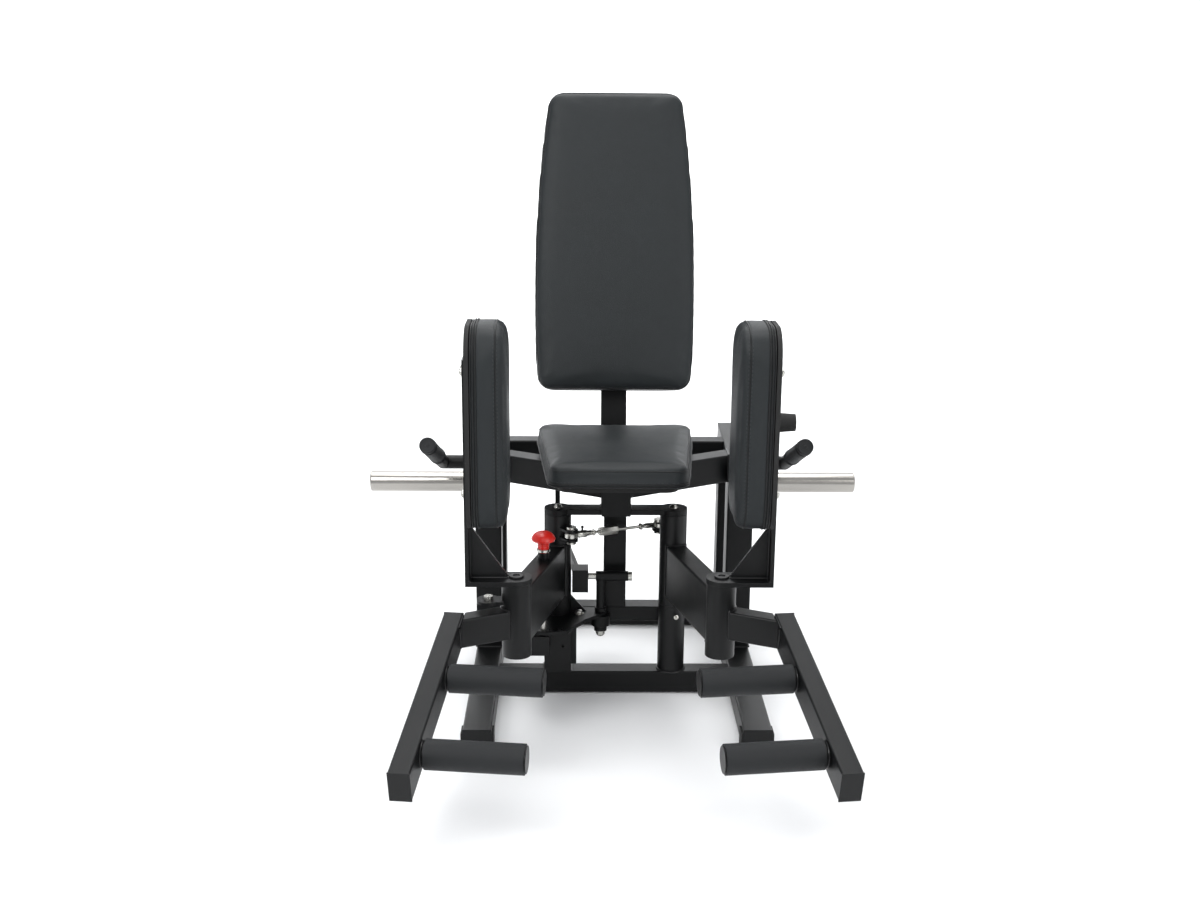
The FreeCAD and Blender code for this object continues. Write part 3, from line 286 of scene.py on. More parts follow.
def ring_skin(rings: list[np.ndarray], closed_loop: bool = False, caps: bool = True) -> Part:
    """Join rings of equal length with quads and close the two ends.

    Args:
        rings: Point rings, each an (n, 3) array.
        closed_loop: Whether the last ring joins the first.
        caps: Whether the end rings are filled.

    Returns:
        Vertices and faces.
    """
    count = len(rings[0])
    points = np.vstack(rings)
    faces: list[tuple[int, ...]] = []
    last = len(rings) if closed_loop else len(rings) - 1
    for row in range(last):
        low = row * count
        high = ((row + 1) % len(rings)) * count
        for i in range(count):
            j = (i + 1) % count
            faces.append((low + i, low + j, high + j, high + i))
    if caps and not closed_loop:
        faces.append(tuple(reversed(range(count))))
        top = (len(rings) - 1) * count
        faces.append(tuple(range(top, top + count)))
    return points, faces


def lathe(profile: Iterable[tuple[float, float]], base: Sequence[float], axis: Sequence[float],
          sides: int = 40) -> Part:
    """Turn a profile about an axis.

    Each ring is base + axis * height + radius * (first * cos t + second * sin t).

    Args:
        profile: Pairs of radius and height in metres, from the first end to the last.
        base: The foot of the axis.
        axis: The direction of the axis.
        sides: How many points each ring has.

    Returns:
        Vertices and faces.
    """
    first, second = cross_frame(axis)
    along = unit(axis)
    turn = np.linspace(0, 2 * math.pi, sides, endpoint=False)[:, None]
    rings = []
    for radius, height in profile:
        centre = np.asarray(base) + along * height
        rings.append(centre + max(radius, 1e-5) * (first * np.cos(turn) + second * np.sin(turn)))
    return ring_skin(rings)


def sweep(path: np.ndarray, radius: float | np.ndarray, sides: int = 8, closed: bool = False) -> Part:
    """Run a round section along a path, carrying its frame from point to point.

    Args:
        path: The centre line, an (n, 3) array.
        radius: One radius, or one for each point.
        sides: Points round the section.
        closed: Whether the path joins its own start.

    Returns:
        Vertices and faces.
    """
    radii = np.broadcast_to(np.asarray(radius, dtype=float), (len(path),))
    ahead = np.roll(path, -1, axis=0) - np.roll(path, 1, axis=0)
    if not closed:
        ahead[0] = path[1] - path[0]
        ahead[-1] = path[-1] - path[-2]
    side, _ = cross_frame(ahead[0])
    rings = []
    turn = np.linspace(0, 2 * math.pi, sides, endpoint=False)[:, None]
    for point, way, size in zip(path, ahead, radii):
        along = unit(way)
        side = unit(side - along * np.dot(side, along))
        other = np.cross(along, side)
        rings.append(point + size * (side * np.cos(turn) + other * np.sin(turn)))
    return ring_skin(rings, closed_loop=closed)


def ring_points(centre: Sequence[float], axis: Sequence[float], radius: float, count: int = 48,
                start: float = 0.0, end: float = 2 * math.pi) -> np.ndarray:
    """Points round a circle or an arc of it.

    Args:
        centre: The circle's centre.
        axis: The circle's axis.
        radius: The circle's radius.
        count: How many points.
        start: The first angle.
        end: The last angle; a full turn leaves the last point out.

    Returns:
        An (n, 3) array.
    """
    first, second = cross_frame(axis)
    full = abs(end - start - 2 * math.pi) < 1e-6
    turn = np.linspace(start, end, count, endpoint=not full)[:, None]
    return np.asarray(centre) + radius * (first * np.cos(turn) + second * np.sin(turn))


def hexagon(centre: Sequence[float], axis: Sequence[float], width: float, height: float) -> Part:
    """A six-sided nut or bolt head with a small chamfer.

    Args:
        centre: The middle of its foot.
        axis: The direction it stands in.
        width: The size across flats.
        height: Its height.

    Returns:
        Vertices and faces.
    """
    radius = width / math.sqrt(3)
    lip = height * 0.12
    profile = [(radius * 0.94, 0.0), (radius, lip), (radius, height - lip), (radius * 0.9, height)]
    return lathe(profile, centre, axis, sides=6)


# ---------------------------------------------------------------- pieces
def make_object(name: str, parts: Sequence[Part]) -> bpy.types.Object:
    """Join mesh parts into one object with outward faces.

    Args:
        name: The object's name.
        parts: Vertices and faces of each closed shell.

    Returns:
        The object, at the origin and untransformed.
    """
    points: list[np.ndarray] = []
    faces: list[tuple[int, ...]] = []
    for shell, shell_faces in parts:
        volume = 0.0
        for face in shell_faces:
            anchor = shell[face[0]]
            for i in range(1, len(face) - 1):
                volume += float(np.dot(anchor, np.cross(shell[face[i]], shell[face[i + 1]])))
        ordered = shell_faces if volume > 0 else [tuple(reversed(face)) for face in shell_faces]
        shift = sum(len(block) for block in points)
        faces.extend(tuple(index + shift for index in face) for face in ordered)
        points.append(shell)
    mesh = bpy.data.meshes.new(name)
    mesh.from_pydata(np.vstack(points).tolist(), [], faces)
    mesh.validate()
    mesh.update()
    obj = bpy.data.objects.new(name, mesh)
    bpy.context.scene.collection.objects.link(obj)
    return obj


def finish_piece(obj: bpy.types.Object, look: Look, body: str,
                 stands_for: Sequence[str] = (), sharp_degrees: float = 35.0) -> bpy.types.Object:
    """Give a piece its finish and tie it to a body of the frame.

    Args:
        obj: The piece.
        look: Its finish.
        body: The body it moves with.
        stands_for: CAD nodes that the piece replaces.
        sharp_degrees: Edges that turn further than this stay sharp.

    Returns:
        The piece.
    """
    obj.data.materials.clear()
    obj.data.materials.append(SHOP.get(look))
    obj.data.shade_smooth()
    obj.data.set_sharp_from_angle(angle=math.radians(sharp_degrees))
    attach(obj, body)
    if stands_for:
        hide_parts(*stands_for)
    return obj


# ---------------------------------------------------------------- cushions
@dataclass
class Cushion:
    """An upholstered pad on a board.

    Lengths are in millimetres. Locally x runs across, y along and z from the board to the face.

    Attributes:
        name: The piece's name.
        node: The CAD node it stands for.
        body: The body it moves with.
        half_width: Half the width at a distance y along the pad.
        height: The length along y.
        thickness: The depth along z.
        corner: The radius of the outline's corners.
        origin: The world place of the local origin.
        axes: The world directions of local x, y and z.
        voxel: The spacing of the simulated mesh.
        crown: How far the face domes before simulation.
        piping: Heights z of piping loops and their radii.
        stitches: Heights z of stitch lines.
        front_edge: The radius of the face's edge.
    """

    name: str
    node: str
    body: str
    half_width: Callable[[float], float]
    height: float
    thickness: float
    corner: float
    origin: np.ndarray
    axes: np.ndarray
    voxel: float = 6.0
    crown: float = 3.0
    piping: Sequence[tuple[float, float]] = field(default_factory=tuple)
    stitches: Sequence[float] = field(default_factory=tuple)
    front_edge: float = 15.0

    def outline(self, inset: float, steps: int = 60) -> np.ndarray:
        """The pad's outline, moved inward.

        In a corner of radius r the half width falls by r - sqrt(r^2 - (r - y)^2).

        Args:
            inset: How far inward of the true outline.
            steps: Points along each long side.

        Returns:
            An (n, 2) ring of x and y.
        """
        low, high = inset, self.height - inset
        radius = max(self.corner - inset, 2.0)
        arc = radius * (1 - np.cos(np.linspace(0, math.pi / 2, 10)))
        middle = np.linspace(low + radius, high - radius, steps)[1:-1]
        along = np.concatenate([low + arc, middle, (high - arc)[::-1]])
        right = []
        for y in along:
            near = min(y - low, high - y)
            gap = max(radius - near, 0.0)
            drop = radius - math.sqrt(max(radius ** 2 - gap ** 2, 0.0)) if gap > 0 else 0.0
            right.append((self.half_width(y) - inset - drop, y))
        side = np.array(right)
        other = side[::-1] * np.array([-1.0, 1.0])
        low_edge = np.linspace(other[-1], side[0], 14)[1:-1]
        high_edge = np.linspace(side[-1], other[0], 14)[1:-1]
        return np.vstack([side, high_edge, other, low_edge])

    def to_world(self, local: np.ndarray) -> np.ndarray:
        """Move local millimetre points into the frame, in metres."""
        return (self.origin + local @ self.axes) * MM

    def block(self) -> Part:
        """The closed block before simulation: rings from the board's middle, up the sides, over the face."""
        rings = []
        edge = self.front_edge
        steps = [(3.0 + 25.0 * k, 0.0) for k in (4, 3, 2, 1, 0)]
        steps += [(0.8, 1.0), (0.0, 4.0)]
        steps += [(0.0, z) for z in np.linspace(8, self.thickness - edge, 5)]
        for angle in np.linspace(0, math.pi / 2, 7)[1:]:
            steps.append((edge * (1 - math.cos(angle)), self.thickness - edge + edge * math.sin(angle)))
        inner = min(self.half_width(self.height / 2), self.height / 2) - 8
        for inset in np.linspace(edge, inner, 7)[1:]:
            share = (inset - edge) / (inner - edge)
            steps.append((inset, self.thickness + self.crown * (1 - (1 - share) ** 2)))
        narrow = min(self.half_width(0), self.half_width(self.height)) - 6
        for inset, level in steps:
            ring = self.outline(min(inset, narrow))
            rings.append(self.to_world(np.column_stack([ring, np.full(len(ring), level)])))
        return ring_skin(rings)

    def build(self) -> bpy.types.Object:
        """Build, simulate and refine the pad, then add its piping and stitching.

        Returns:
            The finished pad.
        """
        obj = make_object(self.name, [self.block()])
        remesh = obj.modifiers.new("even_mesh", "REMESH")
        remesh.mode = "VOXEL"
        remesh.voxel_size = self.voxel * MM
        bake_modifiers(obj)
        self._inflate(obj)
        smooth = obj.modifiers.new("settle", "SMOOTH")
        smooth.factor = 0.5
        smooth.iterations = 6
        bake_modifiers(obj)
        fine = obj.modifiers.new("refine", "SUBSURF")
        fine.levels = 1
        fine.render_levels = 1
        bake_modifiers(obj)
        finish_piece(obj, Look.LEATHERETTE, self.body, [self.node], 80)
        self._trim(obj)
        return obj

    def _local_z(self, points: np.ndarray) -> np.ndarray:
        """Heights above the board, in millimetres, of world points in metres."""
        return (points / MM - self.origin) @ self.axes[2]

    def _inflate(self, obj: bpy.types.Object, frames: int = 20, reach: float = 4.0) -> None:
        """Fill the cover with pressure as cloth, held at the board, then hold its movement to a small reach.

        The free cloth moves much further than a stuffed cover would, so tanh limits each point's step.

        Args:
            obj: The evenly meshed pad.
            frames: How many frames to run.
            reach: The furthest any point may move, in millimetres.
        """
        rest = read_points(obj.data)
        held = np.nonzero(self._local_z(rest) < HELD_BELOW)[0]
        group = obj.vertex_groups.new(name="held")
        group.add([int(i) for i in held], 1.0, "REPLACE")
        cloth = obj.modifiers.new("cloth", "CLOTH")
        cloth.settings.quality = 4
        cloth.settings.mass = 0.4
        cloth.settings.tension_stiffness = 25
        cloth.settings.compression_stiffness = 25
        cloth.settings.bending_stiffness = 3
        cloth.settings.vertex_group_mass = "held"
        cloth.settings.use_pressure = True
        cloth.settings.uniform_pressure_force = 4
        cloth.settings.effector_weights.gravity = 0
        cloth.collision_settings.use_collision = False
        cloth.point_cache.frame_start = 1
        cloth.point_cache.frame_end = frames
        scene = bpy.context.scene
        for number in range(1, frames + 1):
            scene.frame_set(number)
        shaped = obj.evaluated_get(bpy.context.evaluated_depsgraph_get())
        moved = read_points(shaped.data)
        obj.modifiers.remove(cloth)
        scene.frame_set(1)
        step = moved - rest
        length = np.linalg.norm(step, axis=1, keepdims=True)
        limit = reach * MM
        step *= limit * np.tanh(length / limit) / np.maximum(length, 1e-9)
        step[~np.isfinite(step).all(axis=1)] = 0.0
        write_points(obj.data, rest + step)
        LOG.info("%s: free cloth moved %.1f mm at most, held to %.1f mm", self.name,
                 float(length.max()) / MM, reach)

    def _loop(self, tree: BVHTree, level: float, lift: float) -> np.ndarray:
        """A closed loop that lies on the pad's side at one height.

        Args:
            tree: The pad's surface.
            level: The height above the board, in millimetres.
            lift: How far the loop stands off the surface, in metres.

        Returns:
            World points in metres.
        """
        ring = self.outline(-20.0, 90)
        aim = self.outline(40.0, 90)
        points = []
        for outer, inner in zip(ring, aim):
            start = self.to_world(np.array([[outer[0], outer[1], level]]))[0]
            target = self.to_world(np.array([[inner[0], inner[1], level]]))[0]
            way = Vector(target - start).normalized()
            hit = tree.ray_cast(Vector(start), way)
            if hit[0] is not None:
                points.append(np.array(hit[0] - way * lift))
        path = np.array(points)
        gaps = np.linalg.norm(np.roll(path, -1, axis=0) - path, axis=1)
        path = path[gaps > 1e-4]
        return resample(path, 0.004)

    def _trim(self, obj: bpy.types.Object) -> None:
        """Lay piping and stitch lines on the finished surface."""
        tree = BVHTree.FromObject(obj, bpy.context.evaluated_depsgraph_get())
        cords = [sweep(self._loop(tree, level, radius * 0.35 * MM), radius * MM, 8, closed=True)
                 for level, radius in self.piping]
        if cords:
            piping = make_object(self.name + "_piping", cords)
            finish_piece(piping, Look.PIPING, self.body, (), 80)
        dashes = []
        for level in self.stitches:
            path = self._loop(tree, level, 0.0002)
            for start in range(0, len(path) - 2, 2):
                pair = np.array([path[start], path[start + 1]])
                middle = pair.mean(axis=0)
                dashes.append(sweep(middle + (pair - middle) * 1.15, 0.00045, 5))
        if dashes:
            thread = make_object(self.name + "_stitches", dashes)
            finish_piece(thread, Look.THREAD, self.body, (), 80)


def read_points(mesh: bpy.types.Mesh) -> np.ndarray:
    """Read a mesh's vertices as an (n, 3) array."""
    flat = np.empty(len(mesh.vertices) * 3, dtype=np.float32)
    mesh.vertices.foreach_get("co", flat)
    return flat.reshape(-1, 3).astype(float)


def write_points(mesh: bpy.types.Mesh, points: np.ndarray) -> None:
    """Write an (n, 3) array back to a mesh's vertices."""
    mesh.vertices.foreach_set("co", points.astype(np.float32).ravel())
    mesh.update()


def resample(path: np.ndarray, spacing: float) -> np.ndarray:
    """Space the points of a closed loop evenly along its length.

    Args:
        path: The loop's points.
        spacing: The wanted distance between points.

    Returns:
        The evenly spaced loop.
    """
    ring = np.vstack([path, path[:1]])
    lengths = np.concatenate([[0.0], np.cumsum(np.linalg.norm(np.diff(ring, axis=0), axis=1))])
    count = max(int(lengths[-1] / spacing), 12)
    marks = np.linspace(0, lengths[-1], count, endpoint=False)
    return np.column_stack([np.interp(marks, lengths, ring[:, axis]) for axis in range(3)])


def bake_modifiers(obj: bpy.types.Object) -> None:
    """Replace an object's mesh with the result of its modifiers."""
    evaluated = obj.evaluated_get(bpy.context.evaluated_depsgraph_get())
    mesh = bpy.data.meshes.new_from_object(evaluated)
    old = obj.data
    obj.modifiers.clear()
    obj.data = mesh
    bpy.data.meshes.remove(old)
    mesh.name = obj.name


def cushions() -> list[Cushion]:
    """Describe the seat, the back and the two thigh pads.

    Returns:
        The four cushions.
    """
    lean = math.radians(BACK_LEAN)
    back_up = np.array([0.0, math.sin(lean), math.cos(lean)])
    back_rear = np.array([0.0, math.cos(lean), -math.sin(lean)])

    def back_half(y: float) -> float:
        """Half the back's width: it bows outward, then narrows to the top."""
        share = y / BACK_HEIGHT
        return 178.0 + 50.6 * share - 75.6 * share ** 2 if share < 1 else 153.0

    def seat_half(y: float) -> float:
        """Half the seat's width: it widens evenly to the rear."""
        return 145.0 + 34.0 * y / SEAT_DEPTH

    found = [
        Cushion("seat_cushion", "seat_pad", "frame", seat_half, SEAT_DEPTH, 47, 28, np.array([0.0,
                                                                                              -205.0,
                                                                                              535.3]),
                np.eye(3), 5.0, 2.0, ((6.0, 1.7), (11.0, 1.7), (38.0, 1.2)), (15.0,), 12.0),
        Cushion("back_cushion", "back_pad", "frame", back_half, BACK_HEIGHT, 57, 32,
                np.array([0.0, 200.0, 655.0]) + back_rear * 60, np.array([[1.0, 0.0, 0.0], back_up,
                                                                          -back_rear]),
                7.0, 2.0, ((7.0, 1.8), (44.0, 1.1)), (12.0,), 14.0),
    ]
    for sign, word in ((-1, "left"), (1, "right")):
        axes = np.array([[0.0, -sign, 0.0], [0.0, 0.0, 1.0], [-sign, 0.0, 0.0]], dtype=float)
        found.append(Cushion("thigh_cushion_" + word, "thigh_pad_" + word, word + "_pad", lambda y: 85.0,
                             403, 66,
                             55, np.array([sign * 290.7, -300.0, 496.0]), axes, 5.0, 1.5,
                             ((3.0, 1.9), (8.0, 1.9), (13.0, 1.9), (50.0, 1.3)), (46.5, 53.5), 13.0))
    return found


# ---------------------------------------------------------------- details
class Details:
    """Small pieces that ride on the arms, columns, pads and frame."""

    def __init__(self, sizes: Layout) -> None:
        """Keep the machine's main lines."""
        self.sizes = sizes

    @staticmethod
    def bead(path: np.ndarray, radius: float = 2.4, closed: bool = False) -> Part:
        """A weld bead: a tube whose radius ripples along its length.

        The radius is r * (1 + 0.16 * |sin(pi * s / pitch)|), with s along the path.

        Args:
            path: The corner it fills, in millimetres.
            radius: Its mean radius in millimetres.
            closed: Whether it runs right round.

        Returns:
            Vertices and faces.
        """
        points = np.asarray(path, dtype=float)
        if closed:
            ring = resample(points * MM, 0.0016)
        else:
            lengths = np.concatenate([[0.0], np.cumsum(np.linalg.norm(np.diff(points, axis=0), axis=1))])
            marks = np.linspace(0, lengths[-1], max(int(lengths[-1] / 1.6), 4))
            ring = np.column_stack([np.interp(marks, lengths, points[:, a]) for a in range(3)]) * MM
        ripple = 1 + 0.16 * np.abs(np.sin(np.arange(len(ring)) * math.pi / 3))
        return sweep(ring, radius * MM * ripple, 8, closed=closed)

    def arm_welds(self, sign: int) -> list[Part]:
        """Beads on one swing arm, where tubes meet the sleeve, the hub and each other.

        Args:
            sign: -1 for the left arm, 1 for the right.

        Returns:
            The beads.
        """
        s = self.sizes
        column = np.array([sign * s.column_x, 0.0])
        hub = np.array([sign * s.hub_x, s.hub_y])
        beads = []
        way = unit(hub - column)
        offset_end = np.array([sign * (s.corner_x - s.offset_half), s.corner_y + 20])
        offset_way = unit(offset_end - hub)
        for centre, out, half, low, top in (
                (column, way, s.beam_half, s.beam_low, s.beam_top), (hub, -way, s.beam_half, s.beam_low,
                                                                     s.beam_top),
                (hub, offset_way, s.offset_half, s.offset_low, s.offset_top)):
            beads.append(self.bead(self._saddle(centre, out, half - 1.5, low, top)))
        fall = math.radians(s.fall)
        splay = math.radians(s.splay)
        run = np.array([sign * math.sin(splay) * math.cos(fall), -math.cos(splay) * math.cos(fall),
                        -math.sin(fall)])
        side = np.array([sign * math.cos(splay), math.sin(splay), 0.0])
        rise = np.cross(run, side) * sign
        rise = rise if rise[2] > 0 else -rise
        corner = np.array([sign * s.corner_x, s.corner_y, s.corner_z])
        for distance in (150.0, 372.0):
            root = corner + run * distance - side * 40.5 - rise * 30
            beads.append(self.bead(ring_points(root, -side, 22.0), 2.4, closed=True))
        inner = corner - side * 40.5
        beads.append(self.bead(np.array([inner + run * -18 - rise * 3, inner + run * 24 - rise * 3])))
        beads.append(self.bead(np.array([inner + run * 24 - rise * 4, inner + run * 24 - rise * 50])))
        return beads

    @staticmethod
    def _saddle(centre: np.ndarray, out: np.ndarray, half: float, low: float, top: float) -> np.ndarray:
        """The line where a square tube meets a round post: up one side, over the top and down the other."""
        radius = 30.4
        side = np.array([-out[1], out[0]])
        spread = math.asin(min((half + 1.5) / radius, 0.99))
        points = [[*(centre + radius * (out * math.cos(spread) + side * math.sin(spread))), low]]
        for angle in np.linspace(spread, -spread, 15):
            spot = centre + radius * (out * math.cos(angle) + side * math.sin(angle))
            points.append([*spot, top + 0.8])
        points.append([*(centre + radius * (out * math.cos(spread) - side * math.sin(spread))), low])
        return np.array(points)

    def frame_welds(self) -> list[Part]:
        """Beads on the fixed frame.

        Returns:
            The beads.
        """
        s = self.sizes
        beads = [self.bead(ring_points((s.column_x, 0, s.cross_top + 0.5), (0, 0, 1), 30.5), 2.6,
                           closed=True)]
        square = np.array([[-158.5, -25, 55.5], [-158.5, 24, 55.5], [-97.5, 24, 55.5], [-97.5, -25, 55.5]])
        beads.append(self.bead(square[:2]))
        beads.append(self.bead(square[2:]))
        for sign in (-1, 1):
            grip = np.array([sign * 320.3, 170.0, 492.0])
            beads.append(self.bead(ring_points(grip, (sign, 0, 0), 16.6), 2.2, closed=True))
            for y in (121.0, 179.0):
                beads.append(self.bead(np.array([[sign * 259.5, y, 460], [sign * 259.5, y, 522]])))
            beads.append(self.bead(np.array([[sign * 259.5, 121, 523], [sign * 259.5, 178, 523]])))
            for x in (sign * 259.5, sign * 320.5):
                for y in (118.0, 340.0):
                    beads.append(self.bead(np.array([[x, y + 3, 55.5], [x, y + 57, 55.5]])))
            for y in (118.0, 340.0):
                beads.append(self.bead(np.array([[sign * 263, y - 0.5, 55.5], [sign * 317, y - 0.5,
                                                                               55.5]])))
            beads.append(self.bead(np.array([[sign * 32.5, -20, 436.5], [sign * 32.5, 20, 436.5]])))
        return beads

    def pad_welds(self, sign: int) -> list[Part]:
        """Beads along a gusset's foot and back on one pad bracket.

        Args:
            sign: -1 for the left, 1 for the right.

        Returns:
            The beads.
        """
        s = self.sizes
        beads = []
        for side in (-4.5, 4.5):
            y = s.hub_y + side
            low = s.lug_top + 0.5
            beads.append(self.bead(np.array([[sign * 222, y, low], [sign * 299, y, low]]), 2.6))
            beads.append(self.bead(np.array([[sign * 299.5, y, low], [sign * 299.5, y, low + 108]]), 2.2))
        for y in (s.hub_y - 31, s.hub_y + 31):
            beads.append(self.bead(np.array([[sign * 299.5, y, low], [sign * 299.5, y, low + 3]]), 2.2))
        beads.append(self.bead(np.array([[sign * 299.5, s.hub_y - 31, low], [sign * 299.5, s.hub_y - 5,
                                                                             low]]), 2.4))
        return beads

    def socket_bolt(self, centre: Sequence[float], axis: Sequence[float], radius: float,
                    height: float) -> Part:
        """A low round bolt head with a socket sunk in its top.

        Args:
            centre: The middle of its foot, in millimetres.
            axis: The direction it stands in.
            radius: Its radius.
            height: Its height.

        Returns:
            Vertices and faces.
        """
        r, h = radius * MM, height * MM
        profile = [(r, 0), (r, h * 0.7), (r * 0.92, h), (r * 0.5, h), (r * 0.46, h * 0.45), (0, h * 0.4)]
        return lathe(profile, metres(*centre), axis, 32)

    def dome(self, centre: Sequence[float], axis: Sequence[float], radius: float, height: float) -> Part:
        """A domed cap nut or bolt head on a thin washer."""
        r, h = radius * MM, height * MM
        profile = [(r * 1.35, 0), (r * 1.35, 0.0012), (r, 0.0012), (r, h * 0.45)]
        for angle in np.linspace(0, math.pi / 2, 8)[1:]:
            profile.append((r * math.cos(angle), h * 0.45 + h * 0.55 * math.sin(angle)))
        return lathe(profile, metres(*centre), axis, 32)

    def tie_rod(self) -> None:
        """Build the tie rod's ball ends, studs and turnbuckle in place of its plain CAD bar."""
        z = self.sizes.tie_z
        left = np.array([-98.0, -40.0, z])
        right = np.array([98.0, 40.0, z])
        way = unit(right - left)
        right = right + way * 2.5
        span = float(np.linalg.norm(right - left))

        def at(distance: float) -> np.ndarray:
            """A point along the rod, in metres."""
            return metres(*(left + way * distance))

        def turned(steps: Sequence[tuple[float, float]], sides: int = 28) -> Part:
            """Turn radius and distance steps about the rod's line."""
            return lathe([(r * MM, d * MM) for r, d in steps], metres(*left), way, sides)

        eyes = []
        for centre, bore in ((left, 6.1), (right, 10.2)):
            outer = 15.0
            rings = [(bore, -6.8), (outer - 2, -6.8), (outer, -4.2), (outer, 4.2), (outer - 2, 6.8),
                     (bore, 6.8)]
            eyes.append(self.hoop(centre, rings))
        bright = [*eyes, turned([(7.0, 14), (8.2, 18), (8.2, 34), (6.2, 38), (6.2, 47)]),
                  turned([(3.4, 44), (3.4, span - 34)], 20),
                  turned([(4.6, span - 40), (6.4, span - 34), (6.4, span - 20), (5.0, span - 14)])]
        dark = [hexagon(at(66), way, 0.017, 0.044), hexagon(at(50), way, 0.013, 0.006),
                hexagon(at(span - 50), way, 0.013, 0.006)]
        rod = make_object("tie_rod_bright", bright)
        finish_piece(rod, Look.ZINC, "tie_rod", ["tie_rod"])
        finish_piece(make_object("tie_rod_turnbuckle", dark), Look.ZINC, "tie_rod")
        nipple = lathe([(0.0022, 0), (0.0022, 0.005), (0.0034, 0.006), (0.0028, 0.010), (0, 0.011)],
                       at(26) + np.array([0, 0, 0.008]), (0, 0, 1), 16)
        finish_piece(make_object("tie_rod_nipple", [nipple]), Look.DARK_STEEL, "tie_rod")

    @staticmethod
    def hoop(centre: np.ndarray, section: Sequence[tuple[float, float]], sides: int = 40) -> Part:
        """Turn a closed section about the vertical, leaving its bore open.

        Args:
            centre: The middle, in millimetres.
            section: A closed ring of radius and height pairs.
            sides: How many steps round.

        Returns:
            Vertices and faces.
        """
        rings = []
        for turn in np.linspace(0, 2 * math.pi, sides, endpoint=False):
            spoke = np.array([math.cos(turn), math.sin(turn), 0.0])
            rings.append(np.array([(centre + spoke * r + np.array([0, 0, h])) * MM for r, h in section]))
        return ring_skin(rings, closed_loop=True)

    def build(self) -> None:
        """Make every small piece."""
        s = self.sizes
        self.tie_rod()
        for sign, word in ((-1, "left"), (1, "right")):
            swing, pad = word + "_swing", word + "_pad"
            finish_piece(make_object("arm_welds_" + word, self.arm_welds(sign)), Look.WELD_COAT_PAINTED_HIGHLIGHT, swing)
            finish_piece(make_object("pad_welds_" + word, self.pad_welds(sign)), Look.WELD_COAT_PAINTED_HIGHLIGHT, pad)
            cap = self.socket_bolt((sign * s.hub_x, s.hub_y, s.lug_top), (0, 0, 1), 15, 4)
            finish_piece(make_object("hub_cap_" + word, [cap]), Look.DARK_STEEL, pad)
            heads = [self.dome((sign * s.plate_x, s.hub_y + y, 805.0), (sign, 0, 0), 7, 7) for y in (-18,
                                                                                                     18)]
            heads += [self.dome((sign * s.plate_x, s.hub_y + y, 560.0), (sign, 0, 0), 7,
                                7) for y in (-18, 18)]
            finish_piece(make_object("pad_bolts_" + word, heads), Look.ZINC, pad)
            self.grip_end(sign, word)
        finish_piece(make_object("frame_welds", self.frame_welds()), Look.WELD_COAT_PAINTED_HIGHLIGHT, "frame")
        collar = lathe([(0.0135, 0), (0.0145, 0.001), (0.0145, 0.006), (0.0135, 0.007)],
                       metres(-157.3, -111.2, 370.5), (0, 0, 1), 32)
        finish_piece(make_object("selector_collar", [collar]), Look.ZINC, "selector")
        ribs = [lathe([(0.0121, h), (0.0128, h + 0.0008), (0.0128, h + 0.0016), (0.0121, h + 0.0024)],
                      metres(-157.3, -111.2, 369.5), (0, 0, 1), 32) for h in (0.010, 0.014, 0.018)]
        finish_piece(make_object("selector_ribs", ribs), Look.RED_PLASTIC, "selector")
        nipple = lathe([(0.004, 0), (0.004, 0.006), (0.0055, 0.007), (0.0055, 0.009), (0.0025, 0.010),
                        (0.0028, 0.016), (0, 0.017)], metres(s.column_x + 7, -29, 190), unit((0.15, -1,
                                                                                              0.1)), 20)
        finish_piece(make_object("grease_nipple", [nipple]), Look.ZINC, "frame")
        plugs = [lathe([(0.0045, 0), (0.0045, 0.0006), (0.0032, 0.0006), (0.003, -0.001), (0, -0.001)],
                       metres(x, -30, z), (0, -1, 0), 20) for x, z in ((-140, 158), (-116, 118))]
        finish_piece(make_object("base_plugs", plugs), Look.DARK_STEEL, "frame")
        sector_bolt = self.dome((-80, -16, 192), (0, 0, 1), 8, 9)
        finish_piece(make_object("sector_bolt", [sector_bolt]), Look.ZINC, "sector")
        nut = self.dome((-32, 0, 147.4), (0, 0, -1), 10.5, 16)
        finish_piece(make_object("swivel_dome", [nut]), Look.ZINC, "swivel")

    def grip_end(self, sign: int, word: str) -> None:
        """The moulded end of one hand grip: a rim, a shallow dish and a small centre dot."""
        end = np.array([sign * 410.0, -20.0, 580.0])
        bend = np.array([sign * 395.0, 170.0, 492.0])
        way = unit(end - bend)
        start = (end + way * 3) * MM
        rim = lathe([(0.018, -0.001), (0.0178, 0.0012), (0.016, 0.0022), (0.0145, 0.0016), (0.013, 0.0008),
                     (0.004, 0.0008), (0.0036, 0.002), (0, 0.0024)], start, way, 36)
        rings = [sweep(ring_points((end - way * d) * MM, way, 0.0181, 40), 0.0007, 6, closed=True)
                 for d in (8, 14, 118, 124, 130)]
        finish_piece(make_object("grip_end_" + word, [rim, *rings]), Look.GRIP_RUBBER, "frame")


